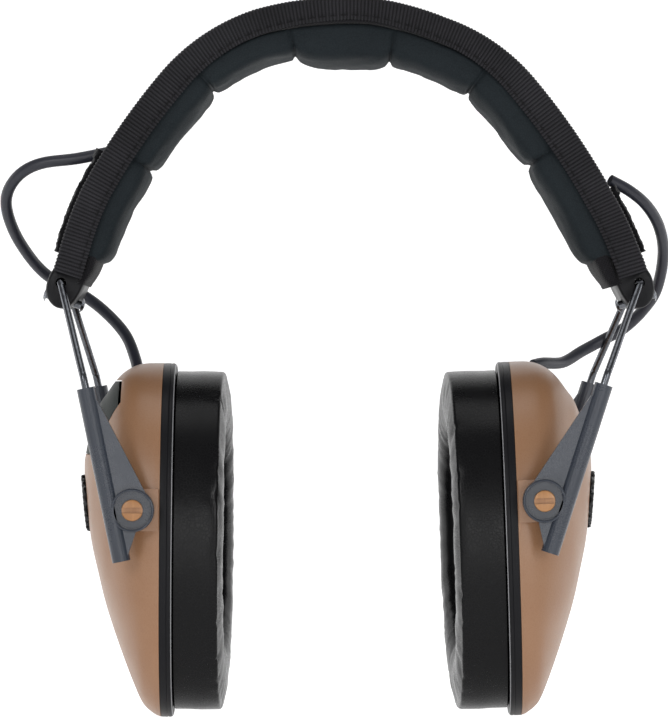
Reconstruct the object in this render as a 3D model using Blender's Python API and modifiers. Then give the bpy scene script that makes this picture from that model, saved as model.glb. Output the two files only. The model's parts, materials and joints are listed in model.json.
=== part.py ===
"""Electronic earmuff hearing protector with a padded over-head band, two folding wire bails and two cups.

Frame: +Z up, -Y toward the viewer in front, +X to the right as seen from there.
Left and right are named as seen from the front.
The origin is the inner crown of the head pad, where the band rests on the head.
Each side is modelled in its own frame with +X pointing away from the head, so both sides share one design.
"""

import math

import bmesh
import bpy
from mathutils import Matrix, Vector

MM = 0.001  # sizes below are in millimetres

# ---- fits -------------------------------------------------------------------------------------------------
GAP = 0.3  # between pieces that touch or turn in each other
THROUGH = 5.0  # how far a cutter runs past the faces that it cuts

# ---- head band --------------------------------------------------------------------------------------------
CROWN_Z = 17.6  # the band's outer line above the pad's inner crown
# radius and degrees turned, from the crown down
BAND_ARCS = ((90.0, 16.0), (58.0, 34.0), (200.0, 10.0), (90.0, 12.0))
BAND_TAIL = 9.5  # straight run after the last arc
COVER_THICK = 7.0
COVER_WIDTH = 44.0
BINDING_THICK = 1.2
BINDING_LIP = 0.5  # how far the binding stands proud of the cover, in and out
STRIP_THICK = 1.2
STRIP_WIDTH = 14.0
STRIP_DEPTH = 4.8  # from the band's outer line to the strip's outer face
PAD_WIDTH = 42.0
PAD_THICK = 11.1
PAD_END_THICK = 6.4
PAD_TAPER = 24.0  # the length over which the pad thins at each end
PAD_SEAM_DEPTH = 1.6
PAD_SECTIONS = 7
FLAP_THICK = 2.4
FLAP_WIDTH = 38.0
FLAP_LENGTH = {"left": 32.4, "right": 21.6}

# ---- band ends and the bail hinge ---------------------------------------------------------------------------
END_LENGTH = 11.2
END_THICK = 10.0
END_PROUD = 1.4  # how far the end block stands outside the band's outer line
END_WIDTH = 40.0
END_ROUND = 3.6
HINGE_ALONG = 3.6  # hinge axis beyond the end of the cover
HINGE_DEPTH = 2.2  # hinge axis inside the band's outer line
RIVET_ALONG = 8.0
RIVET_RADIUS = 1.2
RIVET_HEAD_RADIUS = 2.2
RIVET_HEAD = 0.9
STRIP_REACH = 9.8  # how far the strip runs into the end block

# ---- wire bails --------------------------------------------------------------------------------------------
WIRE_RADIUS = 1.05
BAIL_BEND = 3.0
BAIL_FLARE = (11.0, 28.0)  # the legs spread to the arms between these distances below the hinge axis
WIRE_END = 76.0  # the legs' lower ends below the hinge axis
TUBE_SHIFT = 1.9  # the arm tubes lie this far inside the hinge axis

# ---- arms ----------------------------------------------------------------------------------------------------
TUBE_RADIUS = 2.6
TUBE_TOP = 31.0  # below the hinge axis
TUBE_LENGTH = 50.0
WEB_THICK = 2.8
WEB_SHOULDER = 3.0  # the web starts this far below the tube's top
WEB_SLOPE = 1.2  # how much lower its shoulder is at the tube's side
WEB_FOOT = 1.0  # the web ends this far above the tube's foot
WEB_BITE = 0.4  # how far its edges reach into the disc and the tube
TUBE_CLEAR = 0.2  # between a tube's side and the plane of the disc's face
PIVOT_DROP = 67.45  # cup pivot below the hinge axis, along the tube
PIVOT_INSET = 7.8  # cup pivot inside the hinge axis
DISC_RADIUS = 6.2
DISC_THICK = 4.6
RECESS_RADIUS = 5.2
RECESS_DEPTH = 1.2

# ---- pivot screws -----------------------------------------------------------------------------------------------
SCREW_RADIUS = 1.5
SCREW_HEAD_RADIUS = 3.05
SCREW_HEAD = 1.5
SLOT_WIDTH = 1.2
SLOT_LENGTH = 4.4
SLOT_DEPTH = 0.7
SCREW_GRIP = 4.4  # how deep the shank goes into the boss

# ---- cups (lengths from the plane where shell and base ring meet, heights from the cup's centre) --------------------
CUP_HEIGHT = 101.5
CUP_WIDTH = 78.0
CUP_POWER = 2.35  # superellipse exponent of the cup's outline
SHELL_DEPTH = 22.8
SHELL_WALL = 2.0
PIVOT_OUT = 7.5  # pivot outside the ring plane
PIVOT_UP = 10.5  # pivot above the cup's centre
BOSS_HEIGHT = 12.0
BOSS_DEPTH = 5.2
BOSS_FACE = 39.4  # the boss faces' distance from the cup's middle plane
# the shell's rings: share of the depth, then top, bottom and side as shares of half the height or width
SHELL_RINGS = (
    (0.0, 1.0, -1.0, 1.0),
    (0.09, 1.0, -0.982, 0.993),
    (0.23, 0.998, -0.925, 0.972),
    (0.36, 0.985, -0.8, 0.935),
    (0.5, 0.95, -0.64, 0.87),
    (0.62, 0.895, -0.49, 0.79),
    (0.72, 0.83, -0.35, 0.71),
    (0.81, 0.77, -0.19, 0.61),
    (0.89, 0.67, -0.04, 0.49),
    (0.95, 0.57, 0.14, 0.34),
    (1.0, 0.46, 0.34, 0.1),
)
BASE_THICK = 3.3
BASE_PLATE = 1.8
BASE_RIM = 2.4
PORT_RADIUS = 13.0  # the speaker's port through the base plate
CUSHION_HEIGHT = 97.8
CUSHION_WIDTH = 74.4
CUSHION_DEPTH = 16.4
CUSHION_ROUND = 4.0
EAR_HEIGHT = 62.0
EAR_WIDTH = 43.0
FOAM_THICK = 3.0
FOAM_CLEAR = 0.4

# ---- parts inside and on the cups --------------------------------------------------------------------------------------
SPEAKER_RADIUS = 18.0
SPEAKER_DEPTH = 5.6
BOARD_SIZE = (44.0, 34.0)
BOARD_THICK = 1.6
BOARD_OUT = 6.6
BOARD_DOWN = 8.0
GRILLE_HEIGHT = 17.0
GRILLE_WIDTH = 24.0
GRILLE_UP = 10.5
GRILLE_REACH = 8.0  # how far in from the shell's outermost point its cut starts
MIC_RADIUS = 4.5
MIC_DEPTH = 3.0
MIC_CLEAR = 1.4  # behind the grille's inner face
GROMMET_RADIUS = 3.0
GROMMET_OUT = 7.4
GROMMET_REAR = 18.0
GROMMET_TOP = 48.2
GROMMET_LENGTH = 8.0
GROMMET_TILT = 30.0  # degrees outward from upright
CELL_RADIUS = 5.1
CELL_LENGTH = 44.0
CELL_OUT = 8.4
CELL_UP = (30.8, 20.2)
DOOR_WIDTH = 46.0
DOOR_OUT = 10.8
DOOR_BOTTOM = 25.0
DOOR_TOP = 45.8
DOOR_HINGE_OUT = 13.8  # the door turns on its upper edge
KNOB_RADIUS = 6.5
KNOB_THICK = 4.6
KNOB_OUT = 8.2
KNOB_DOWN = 13.5
POD_HEIGHT = 25.0
POD_WIDTH = 15.0
POD_DOWN = 18.5
POD_DEPTH = 11.0
SHAFT_RADIUS = 2.0
SHAFT_LENGTH = 6.0
JACK_RADIUS = 3.2
JACK_BORE = 1.75
JACK_LENGTH = 8.0
JACK_PROUD = 0.5
JACK_DOWN = 25.5

# ---- pose at rest ------------------------------------------------------------------------------------------------------
BAIL_LEAN = {"left": 11.65, "right": 17.8}  # degrees that the tubes lean in from upright
CUP_LEAN = {"left": 0.5, "right": 2.0}  # degrees that each cup's top leans in

# ---- link cables (world positions, chosen by hand along each free run, from the cup to the band) --------------------------
CABLE_RADIUS = 1.7
CABLE_POINTS = {
    "left": (
        (-62.2, 18.0, -89.3),
        (-62.8, 20.5, -85.6),
        (-66.0, 26.0, -78.0),
        (-72.3, 31.5, -71.1),
        (-79.4, 33.0, -65.8),
        (-89.9, 28.5, -59.8),
        (-96.8, 21.0, -50.9),
        (-100.0, 13.0, -42.6),
        (-99.8, 8.0, -36.6),
        (-96.0, 4.5, -31.3),
        (-89.6, 2.0, -28.2),
        (-79.4, 0.5, -26.9),
        (-70.6, 0.0, -25.2),
    ),
    "right": (
        (53.8, 18.0, -86.0),
        (56.2, 21.0, -84.6),
        (62.6, 28.5, -85.4),
        (68.6, 34.0, -82.8),
        (74.2, 36.5, -79.8),
        (81.4, 36.5, -75.8),
        (87.2, 34.0, -70.1),
        (90.7, 28.5, -64.0),
        (92.1, 21.0, -54.1),
        (90.4, 13.0, -46.4),
        (86.5, 7.0, -40.4),
        (81.3, 3.0, -36.2),
        (75.4, 0.5, -33.1),
    ),
}
CABLE_STEP = 4.5

MATERIALS = {
    "shell": ((0.305, 0.155, 0.080), 0.42, 0.0),
    "screw": ((0.49, 0.23, 0.06), 0.4, 0.0),
    "arm": ((0.045, 0.052, 0.068), 0.45, 0.0),
    "black": ((0.012, 0.012, 0.014), 0.5, 0.0),
    "steel": ((0.20, 0.21, 0.23), 0.3, 1.0),
    "strip": ((0.45, 0.46, 0.48), 0.35, 1.0),
    "leather": ((0.010, 0.010, 0.011), 0.3, 0.0),
    "pad": ((0.030, 0.038, 0.044), 0.5, 0.0),
    "fabric": ((0.013, 0.013, 0.016), 0.85, 0.0),
    "foam": ((0.02, 0.02, 0.022), 0.95, 0.0),
    "cable": ((0.030, 0.032, 0.042), 0.45, 0.0),
    "door": ((0.075, 0.082, 0.075), 0.5, 0.0),
    "board": ((0.02, 0.12, 0.05), 0.5, 0.0),
    "cell": ((0.35, 0.30, 0.10), 0.35, 1.0),
}

COLLECTION = "earmuff_hearing_protector"
CUTTERS = "cutters"
CUP_STEPS = 32


# ---- scene helpers ---------------------------------------------------------------------------------------------------------
def clear_scene():
    """Removes what the file holds, and makes the two collections."""
    for obj in list(bpy.data.objects):
        bpy.data.objects.remove(obj, do_unlink=True)
    for name in (COLLECTION, CUTTERS):
        bpy.context.scene.collection.children.link(bpy.data.collections.new(name))


def material(name):
    """The Principled material of one finish, made once."""
    found = bpy.data.materials.get(name)
    if found:
        return found
    colour, roughness, metallic = MATERIALS[name]
    made = bpy.data.materials.new(name)
    made.use_nodes = True
    shader = made.node_tree.nodes["Principled BSDF"]
    shader.inputs["Base Color"].default_value = (*colour, 1.0)
    shader.inputs["Roughness"].default_value = roughness
    shader.inputs["Metallic"].default_value = metallic
    return made


def empty(name, parent=None, location=(0, 0, 0), rotation=(0, 0, 0)):
    """A guide that holds pieces at a joint's axis. Location is in millimetres, rotation in degrees."""
    made = bpy.data.objects.new(name, None)
    made.empty_display_size = 10 * MM
    made.location = Vector(location) * MM
    made.rotation_euler = [math.radians(a) for a in rotation]
    made.parent = parent
    bpy.data.collections[COLLECTION].objects.link(made)
    return made


def add_object(name, data, parent, finish=None):
    """An object in its parent's frame: a piece if it has a finish, otherwise a cutter."""
    made = bpy.data.objects.new(name, data)
    made.parent = parent
    if finish:
        data.materials.append(material(finish))
        bpy.data.collections[COLLECTION].objects.link(made)
    else:
        made.hide_render = True
        made.display_type = "WIRE"
        bpy.data.collections[CUTTERS].objects.link(made)
    return made


def smooth(obj, angle=35.0):
    """Shades a round piece smooth, with its corners sharp."""
    obj.data.shade_smooth()
    obj.data.set_sharp_from_angle(angle=math.radians(angle))


def mesh_from_curve(name, curve, turn, parent, finish):
    """A closed mesh object made from a curve, with the curve's caps welded and its plane turned in place."""
    holder = bpy.data.objects.new(name + "_curve", curve)
    bpy.context.scene.collection.objects.link(holder)
    bpy.context.view_layer.update()
    graph = bpy.context.evaluated_depsgraph_get()
    mesh = bpy.data.meshes.new_from_object(holder.evaluated_get(graph), depsgraph=graph)
    bpy.data.objects.remove(holder, do_unlink=True)
    bpy.data.curves.remove(curve)
    mesh.transform(turn)
    weld(mesh)
    mesh.materials.clear()
    return add_object(name, mesh, parent, finish)


def weld(mesh):
    """Joins points at the same place, and turns every face outward."""
    work = bmesh.new()
    work.from_mesh(mesh)
    bmesh.ops.remove_doubles(work, verts=work.verts, dist=1e-6)
    bmesh.ops.recalc_face_normals(work, faces=work.faces)
    work.to_mesh(mesh)
    work.free()


def poly_curve(name, loops, dimensions, closed):
    """A curve of straight-edged splines through lists of points in millimetres."""
    curve = bpy.data.curves.new(name, "CURVE")
    curve.dimensions = dimensions
    for loop in loops:
        spline = curve.splines.new("POLY")
        spline.points.add(len(loop) - 1)
        for point, at in zip(spline.points, loop):
            point.co = (*(Vector(at).to_3d() * MM), 1.0)
        spline.use_cyclic_u = closed
    return curve


# an outline drawn in a curve's XY plane, turned so that its X stays and its Y becomes Z
UPRIGHT = Matrix.Rotation(math.radians(90), 4, "X")
# an outline drawn as (y, z), turned so that it is extruded along X
SIDEWAYS = Matrix(((0, 0, 1, 0), (1, 0, 0, 0), (0, 1, 0, 0), (0, 0, 0, 1)))


def plate(name, loops, low, high, turn, parent, finish=None):
    """A flat outline with holes, extruded from low to high across its plane."""
    curve = poly_curve(name, loops, "2D", True)
    curve.fill_mode = "BOTH"
    curve.extrude = (high - low) / 2 * MM
    across = turn.to_3x3() @ Vector((0, 0, 1))
    across = Vector([abs(c) for c in across])
    place = Matrix.Translation(across * (low + high) / 2 * MM)
    return mesh_from_curve(name, curve, place @ turn, parent, finish)


def tube(name, points, radius, parent, finish, sides=2):
    """A round bar along points, with filled caps."""
    curve = poly_curve(name, [points], "3D", False)
    curve.bevel_depth = radius * MM
    curve.bevel_resolution = sides
    curve.use_fill_caps = True
    made = mesh_from_curve(name, curve, Matrix.Identity(4), parent, finish)
    smooth(made, 50)
    return made


def cylinder(name, radius, start, end, parent, finish=None, segments=24):
    """A round bar between two points."""
    start, end = Vector(start) * MM, Vector(end) * MM
    work = bmesh.new()
    bmesh.ops.create_cone(
        work,
        cap_ends=True,
        segments=segments,
        radius1=radius * MM,
        radius2=radius * MM,
        depth=(end - start).length,
    )
    turn = Vector((0, 0, 1)).rotation_difference(end - start).to_matrix().to_4x4()
    work.transform(Matrix.Translation((start + end) / 2) @ turn)
    mesh = bpy.data.meshes.new(name)
    work.to_mesh(mesh)
    work.free()
    made = add_object(name, mesh, parent, finish)
    smooth(made)
    return made


def box(name, low, high, parent, finish=None):
    """A block between two corners."""
    low, high = Vector(low) * MM, Vector(high) * MM
    work = bmesh.new()
    bmesh.ops.create_cube(work, size=1.0)
    size = high - low
    work.transform(Matrix.Translation((low + high) / 2) @ Matrix.Diagonal((*size, 1)))
    mesh = bpy.data.meshes.new(name)
    work.to_mesh(mesh)
    work.free()
    return add_object(name, mesh, parent, finish)


def turned(name, profile, origin, axis, parent, finish, steps=28):
    """A turned piece: a profile of (radius, height) from the top down its outer side, turned about axis."""
    mesh = bpy.data.meshes.new(name)
    points = [(r * MM, 0, h * MM) for r, h in profile]
    mesh.from_pydata(points, [(i, i + 1) for i in range(len(points) - 1)], [])
    made = add_object(name, mesh, parent, finish)
    made.location = Vector(origin) * MM
    made.rotation_euler = Vector((0, 0, 1)).rotation_difference(Vector(axis)).to_euler()
    screw = made.modifiers.new("Screw", "SCREW")
    screw.steps = steps
    screw.render_steps = steps
    screw.use_merge_vertices = True
    screw.merge_threshold = 1e-5
    screw.use_smooth_shade = False
    return made


def combine(target, other, operation):
    """Adds an exact Boolean of a target with a hidden helper."""
    step = target.modifiers.new(other.name, "BOOLEAN")
    step.operation = operation
    step.object = other
    step.solver = "EXACT"


def loft(name, rings, parent, finish, loop=False):
    """A surface through rings of equal point counts: a closed ring of rings if loop, otherwise open."""
    mesh = bpy.data.meshes.new(name)
    count = len(rings[0])
    points = [Vector(p) * MM for ring in rings for p in ring]
    faces = []
    for i in range(len(rings) if loop else len(rings) - 1):
        here, there = i * count, (i + 1) % len(rings) * count
        for j in range(count):
            k = (j + 1) % count
            faces.append((here + j, here + k, there + k, there + j))
    mesh.from_pydata(points, [], faces)
    weld(mesh)
    made = add_object(name, mesh, parent, finish)
    smooth(made)
    return made


def oval(x, half_width, top, bottom, steps=CUP_STEPS, power=CUP_POWER):
    """A superellipse ring across X, with its top and bottom given."""
    middle, half = (top + bottom) / 2, (top - bottom) / 2
    ring = []
    for i in range(steps):
        c, s = math.cos(2 * math.pi * i / steps), math.sin(2 * math.pi * i / steps)
        y = math.copysign(abs(c) ** (2 / power), c) * half_width
        z = math.copysign(abs(s) ** (2 / power), s) * half + middle
        ring.append((x, y, z))
    return ring


def flat_oval(width, height, middle=0.0, steps=CUP_STEPS):
    """A superellipse outline as (y, z)."""
    return [p[1:] for p in oval(0, width / 2, middle + height / 2, middle - height / 2, steps)]


def rounded_box(x0, x1, z0, z1, radii, steps=5):
    """A rectangle with rounded corners; radii run lower left, lower right, upper right, upper left."""
    corners = ((x0, z0, 180), (x1, z0, 270), (x1, z1, 0), (x0, z1, 90))
    points = []
    for (x, z, start), radius in zip(corners, radii):
        cx = x + radius if x == x0 else x - radius
        cz = z + radius if z == z0 else z - radius
        for i in range(steps + 1):
            a = math.radians(start + 90 * i / steps)
            points.append((cx + radius * math.cos(a), cz + radius * math.sin(a)))
    return points


def smooth_route(points, step):
    """Evenly spaced points on a smooth curve through the given ones."""
    knots = [Vector(p) for p in points]
    knots = [2 * knots[0] - knots[1], *knots, 2 * knots[-1] - knots[-2]]
    fine = []
    for a, b, c, d in zip(knots, knots[1:], knots[2:], knots[3:]):
        for i in range(20):
            t = i / 20
            square = 2 * a - 5 * b + 4 * c - d
            cube = 3 * b - a - 3 * c + d
            fine.append(0.5 * (2 * b + (c - a) * t + square * t**2 + cube * t**3))
    fine.append(knots[-2])
    lengths = [0.0]
    for a, b in zip(fine, fine[1:]):
        lengths.append(lengths[-1] + (b - a).length)
    count = max(2, round(lengths[-1] / step))
    route, k = [], 0
    for i in range(count + 1):
        at = lengths[-1] * i / count
        while k < len(fine) - 2 and lengths[k + 1] < at:
            k += 1
        share = (at - lengths[k]) / (lengths[k + 1] - lengths[k])
        route.append(fine[k].lerp(fine[k + 1], min(1, share)))
    return route


# ---- the band's line ---------------------------------------------------------------------------------------------------------
def band_length():
    """The length of half the band's outer line, from the crown to the cover's end."""
    return sum(r * math.radians(a) for r, a in BAND_ARCS) + BAND_TAIL


def band_at(along, depth=0.0):
    """The point (x, z) at a length from the crown (left negative) and a depth inside the outer line."""
    side, left, heading = math.copysign(1, along), abs(along), 0.0
    x, z = 0.0, CROWN_Z
    for radius, degrees in BAND_ARCS:
        turn = min(math.radians(degrees), left / radius)
        x += radius * (math.sin(heading + turn) - math.sin(heading))
        z -= radius * (math.cos(heading) - math.cos(heading + turn))
        heading += turn
        left -= radius * turn
    x += left * math.cos(heading)
    z -= left * math.sin(heading)
    return side * (x - depth * math.sin(heading)), z - depth * math.cos(heading)


def band_outline(start, end, outer, inner, steps=40):
    """A closed outline along the band between two depths, each a number or a function of the length."""
    stations = [start + (end - start) * i / steps for i in range(steps + 1)]
    outer_at = outer if callable(outer) else lambda s: outer
    inner_at = inner if callable(inner) else lambda s: inner
    return [band_at(s, outer_at(s)) for s in stations] + [band_at(s, inner_at(s)) for s in reversed(stations)]


def pad_depth(along):
    """The depth of the head pad's inner face: full in each section, less at the seams and toward the ends."""
    half = band_length()
    section = 2 * half / PAD_SECTIONS
    phase = ((along + half) / section) % 1.0
    bulge = 1 - abs(2 * phase - 1) ** 3
    fade = min(1.0, (half - abs(along)) / PAD_TAPER)
    thick = PAD_END_THICK + (PAD_THICK - PAD_END_THICK) * math.sin(fade * math.pi / 2)
    return COVER_THICK + GAP + thick - PAD_SEAM_DEPTH * (1 - bulge)


def hinge_point():
    """The bail hinge axis in a side's frame, as (x, z)."""
    return band_at(band_length() + HINGE_ALONG, HINGE_DEPTH)


def end_frame(side):
    """An empty at the cover's end on one side: +X out of the band, +Z back along it."""
    x, z = band_at(band_length())
    heading = sum(a for _, a in BAND_ARCS)
    return empty(side.name.replace("_side", "_band_end_frame"), side, (x, 0, z), (0, heading - 90, 0))


# ---- band pieces -------------------------------------------------------------------------------------------------------------
def build_spring_strip():
    """The steel strip inside the cover, which grips the head, with a rivet hole near each end."""
    reach = band_length() + STRIP_REACH
    outline = band_outline(-reach, reach, STRIP_DEPTH, STRIP_DEPTH + STRIP_THICK)
    return plate("spring_strip", [outline], -STRIP_WIDTH / 2, STRIP_WIDTH / 2, UPRIGHT, None, "strip")


def build_band_cover():
    """The fabric sleeve over the strip, open at both ends."""
    reach = band_length()
    outline = band_outline(-reach, reach, 0.0, COVER_THICK)
    cover = plate("band_cover", [outline], -COVER_WIDTH / 2, COVER_WIDTH / 2, UPRIGHT, None, "fabric")
    room = band_outline(-reach - THROUGH, reach + THROUGH, STRIP_DEPTH - GAP, STRIP_DEPTH + STRIP_THICK + GAP)
    half = STRIP_WIDTH / 2 + GAP
    combine(cover, plate("cover_room", [room], -half, half, UPRIGHT, None), "DIFFERENCE")


def build_bindings():
    """The ribbed ribbons that bind the front and rear edges of the cover."""
    reach = band_length()
    outline = band_outline(-reach, reach, -BINDING_LIP, COVER_THICK)
    start = COVER_WIDTH / 2 + GAP
    for name, side in (("front_binding", -1), ("rear_binding", 1)):
        edges = sorted((side * start, side * (start + BINDING_THICK)))
        plate(name, [outline], edges[0], edges[1], UPRIGHT, None, "fabric")


def build_head_pad():
    """The sectioned cushion under the band."""
    reach = band_length() - 1.0
    outline = band_outline(-reach, reach, COVER_THICK + GAP, pad_depth, 56)
    plate("head_pad", [outline], -PAD_WIDTH / 2, PAD_WIDTH / 2, UPRIGHT, None, "pad")


def build_cover_flap(label, sign):
    """The hook-and-loop flap that closes the cover over one end, outside."""
    start = sign * (band_length() - FLAP_LENGTH[label])
    end = sign * (band_length() - GAP)
    outline = band_outline(start, end, -GAP - FLAP_THICK, -GAP, 10)
    plate(f"{label}_cover_flap", [outline], -FLAP_WIDTH / 2, FLAP_WIDTH / 2, UPRIGHT, None, "fabric")


# ---- hinge pieces ------------------------------------------------------------------------------------------------------------
def build_band_end(label, frame, strip):
    """The moulded end of the band, which holds the strip's end, a rivet and the bail's crossbar."""
    outline = rounded_box(
        END_PROUD - END_THICK, END_PROUD, -END_LENGTH, -GAP, (END_ROUND, END_ROUND, 0.8, 0.8)
    )
    block = plate(f"{label}_band_end", [outline], -END_WIDTH / 2, END_WIDTH / 2, UPRIGHT, frame, "black")
    half = END_WIDTH / 2 + THROUGH
    bore = cylinder(
        f"{label}_hinge_bore",
        WIRE_RADIUS + GAP,
        (-HINGE_DEPTH, -half, -HINGE_ALONG),
        (-HINGE_DEPTH, half, -HINGE_ALONG),
        frame,
    )
    combine(block, bore, "DIFFERENCE")
    slot = box(
        f"{label}_strip_slot",
        (-STRIP_DEPTH - STRIP_THICK - GAP, -STRIP_WIDTH / 2 - GAP, -STRIP_REACH - GAP),
        (-STRIP_DEPTH + GAP, STRIP_WIDTH / 2 + GAP, THROUGH),
        frame,
    )
    combine(block, slot, "DIFFERENCE")
    hole_ends = (THROUGH, 0, -RIVET_ALONG), (-END_THICK - THROUGH, 0, -RIVET_ALONG)
    hole = cylinder(f"{label}_rivet_hole", RIVET_RADIUS + GAP, *hole_ends, frame, None, 16)
    combine(block, hole, "DIFFERENCE")
    combine(strip, hole, "DIFFERENCE")
    build_rivet(label, frame)


def build_rivet(label, frame):
    """The rivet that ties the strip to the moulded end, with a head on both sides."""
    outer, inner = END_PROUD + GAP, END_PROUD - END_THICK - GAP
    profile = [
        (0, outer + RIVET_HEAD),
        (RIVET_HEAD_RADIUS * 0.6, outer + RIVET_HEAD * 0.8),
        (RIVET_HEAD_RADIUS, outer),
        (RIVET_RADIUS, outer),
        (RIVET_RADIUS, inner),
        (RIVET_HEAD_RADIUS, inner),
        (RIVET_HEAD_RADIUS * 0.6, inner - RIVET_HEAD * 0.8),
        (0, inner - RIVET_HEAD),
    ]
    turned(f"{label}_band_rivet", profile, (0, 0, -RIVET_ALONG), (1, 0, 0), frame, "steel", 16)


def arm_plane():
    """The distance of the arm tubes and the wire's straight legs from the middle plane."""
    return BOSS_FACE + GAP + TUBE_CLEAR + TUBE_RADIUS


def build_wire_bail(label, bail):
    """The wire bail: a crossbar in the band end, and two legs that spread out and run down into the arms."""
    shoulder = END_WIDTH / 2 + GAP + BAIL_BEND
    half = []
    for i in range(5):
        a = math.radians(90 * i / 4)
        half.append((0.0, shoulder - BAIL_BEND * (1 - math.sin(a)), -BAIL_BEND * (1 - math.cos(a))))
    steps = 8
    start, end = BAIL_FLARE
    for i in range(steps + 1):
        t = i / steps
        ease = t * t * (3 - 2 * t)
        y = shoulder + (arm_plane() - shoulder) * ease
        half.append((-TUBE_SHIFT * ease, y, -start - (end - start) * t))
    half.append((-TUBE_SHIFT, arm_plane(), -WIRE_END))
    points = half[::-1] + [(x, -y, z) for x, y, z in half]
    tube(f"{label}_wire_bail", points, WIRE_RADIUS, bail, "steel", 2)


# ---- arms --------------------------------------------------------------------------------------------------------------------
def build_arm(name, arms, sign):
    """One arm: a tube on a wire leg, a web, and a recessed disc at the cup's pivot."""
    low = -TUBE_TOP - TUBE_LENGTH
    middle = sign * arm_plane()
    tube_ends = (-TUBE_SHIFT, middle, low), (-TUBE_SHIFT, middle, -TUBE_TOP)
    arm = cylinder(name, TUBE_RADIUS, *tube_ends, arms, "arm", 20)
    top = -TUBE_TOP - WEB_SHOULDER
    web = [
        (-TUBE_SHIFT, top),
        (-TUBE_SHIFT - TUBE_RADIUS, top - WEB_SLOPE),
        (-PIVOT_INSET - DISC_RADIUS + WEB_BITE, -PIVOT_DROP),
        (-PIVOT_INSET, -PIVOT_DROP - DISC_RADIUS + WEB_BITE),
        (-TUBE_SHIFT - TUBE_RADIUS + WEB_BITE, low + WEB_FOOT + WEB_BITE),
        (-TUBE_SHIFT, low + WEB_FOOT),
    ]
    web_plate = plate(name + "_web", [web], middle - WEB_THICK / 2, middle + WEB_THICK / 2, UPRIGHT, arms)
    combine(arm, web_plate, "UNION")
    face = BOSS_FACE + GAP

    def across(near, far):
        return [(-PIVOT_INSET, sign * y, -PIVOT_DROP) for y in (near, far)]

    disc = cylinder(name + "_disc", DISC_RADIUS, *across(face, face + DISC_THICK), arms, None, 28)
    combine(arm, disc, "UNION")
    recess_floor = face + DISC_THICK - RECESS_DEPTH
    past = face + DISC_THICK + THROUGH
    recess = cylinder(name + "_recess", RECESS_RADIUS, *across(recess_floor, past), arms, None, 28)
    combine(arm, recess, "DIFFERENCE")
    hole = cylinder(name + "_hole", SCREW_RADIUS + GAP, *across(face - THROUGH, past), arms, None, 16)
    combine(arm, hole, "DIFFERENCE")
    bore_ends = (-TUBE_SHIFT, middle, low - THROUGH), (-TUBE_SHIFT, middle, THROUGH - TUBE_TOP)
    combine(arm, cylinder(name + "_bore", WIRE_RADIUS + GAP, *bore_ends, arms, None, 16), "DIFFERENCE")


# ---- cups: local frame with the origin on the pivot axis ---------------------------------------------------------------------
def from_ring(x):
    """The local X of a distance outward from the ring plane."""
    return x - PIVOT_OUT


def from_centre(z):
    """The local Z of a height above the cup's centre."""
    return z - PIVOT_UP


def shell_rings():
    """The rings of the shell's outer surface."""
    half_height, half_width = CUP_HEIGHT / 2, CUP_WIDTH / 2
    rings = []
    for depth, top, bottom, width in SHELL_RINGS:
        x = from_ring(depth * SHELL_DEPTH)
        rings.append(
            oval(x, width * half_width, from_centre(top * half_height), from_centre(bottom * half_height))
        )
    return rings


def shell_solid(name, cup, finish=None):
    """The shell's wall alone, open toward the head."""
    shell = loft(name, shell_rings(), cup, finish)
    work = bmesh.new()
    work.from_mesh(shell.data)
    outer_x = max(v.co.x for v in work.verts)
    rim = [e for e in work.edges if e.is_boundary and e.verts[0].co.x > outer_x - 1e-5]
    bmesh.ops.contextual_create(work, geom=rim)
    bmesh.ops.recalc_face_normals(work, faces=work.faces)
    if max(work.faces, key=lambda f: f.calc_center_median().x).normal.x < 0:
        bmesh.ops.reverse_faces(work, faces=work.faces)
    work.to_mesh(shell.data)
    work.free()
    smooth(shell)
    wall = shell.modifiers.new("Wall", "SOLIDIFY")
    wall.thickness = SHELL_WALL * MM
    wall.offset = -1
    reach = CUP_HEIGHT  # past the shell on every side
    corners = (from_ring(-2 * SHELL_WALL), -reach, -reach), (from_ring(GAP), reach, reach)
    combine(shell, box(name + "_trim", *corners, cup), "DIFFERENCE")
    return shell


def build_shell(label, cup, rear):
    """The moulded shell, with a pivot boss on each side and a hole for its grille and its grommet."""
    shell = shell_solid(f"{label}_cup_shell", cup, "shell")
    for name, sign in ((f"{label}_front_boss", -rear), (f"{label}_rear_boss", rear)):
        reach = BOSS_HEIGHT / 2
        outline = rounded_box(from_ring(GAP), reach, -reach, reach, (0.4, reach - 0.2, reach - 0.2, 0.4))
        edges = sorted((sign * (BOSS_FACE - BOSS_DEPTH), sign * BOSS_FACE))
        combine(shell, plate(name, [outline], edges[0], edges[1], UPRIGHT, cup), "UNION")
        ends = (0, sign * (BOSS_FACE - BOSS_DEPTH - THROUGH), 0), (0, sign * (BOSS_FACE + THROUGH), 0)
        combine(shell, cylinder(name + "_hole", SCREW_RADIUS + GAP, *ends, cup, None, 16), "DIFFERENCE")
    combine(shell, grille_punch(f"{label}_grille_hole", cup, GAP), "DIFFERENCE")
    ends = grommet_ends(rear, THROUGH)
    hole = cylinder(f"{label}_grommet_hole", GROMMET_RADIUS + GAP, *ends, cup, None, 16)
    combine(shell, hole, "DIFFERENCE")
    return shell


def grille_punch(name, cup, more):
    """An oval bar through the shell's outer face, the size of the grille plus a margin."""
    outline = flat_oval(GRILLE_WIDTH + 2 * more, GRILLE_HEIGHT + 2 * more, from_centre(GRILLE_UP), 28)
    inner, outer = from_ring(SHELL_DEPTH - GRILLE_REACH), from_ring(SHELL_DEPTH + THROUGH)
    return plate(name, [outline], inner, outer, SIDEWAYS, cup)


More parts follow.
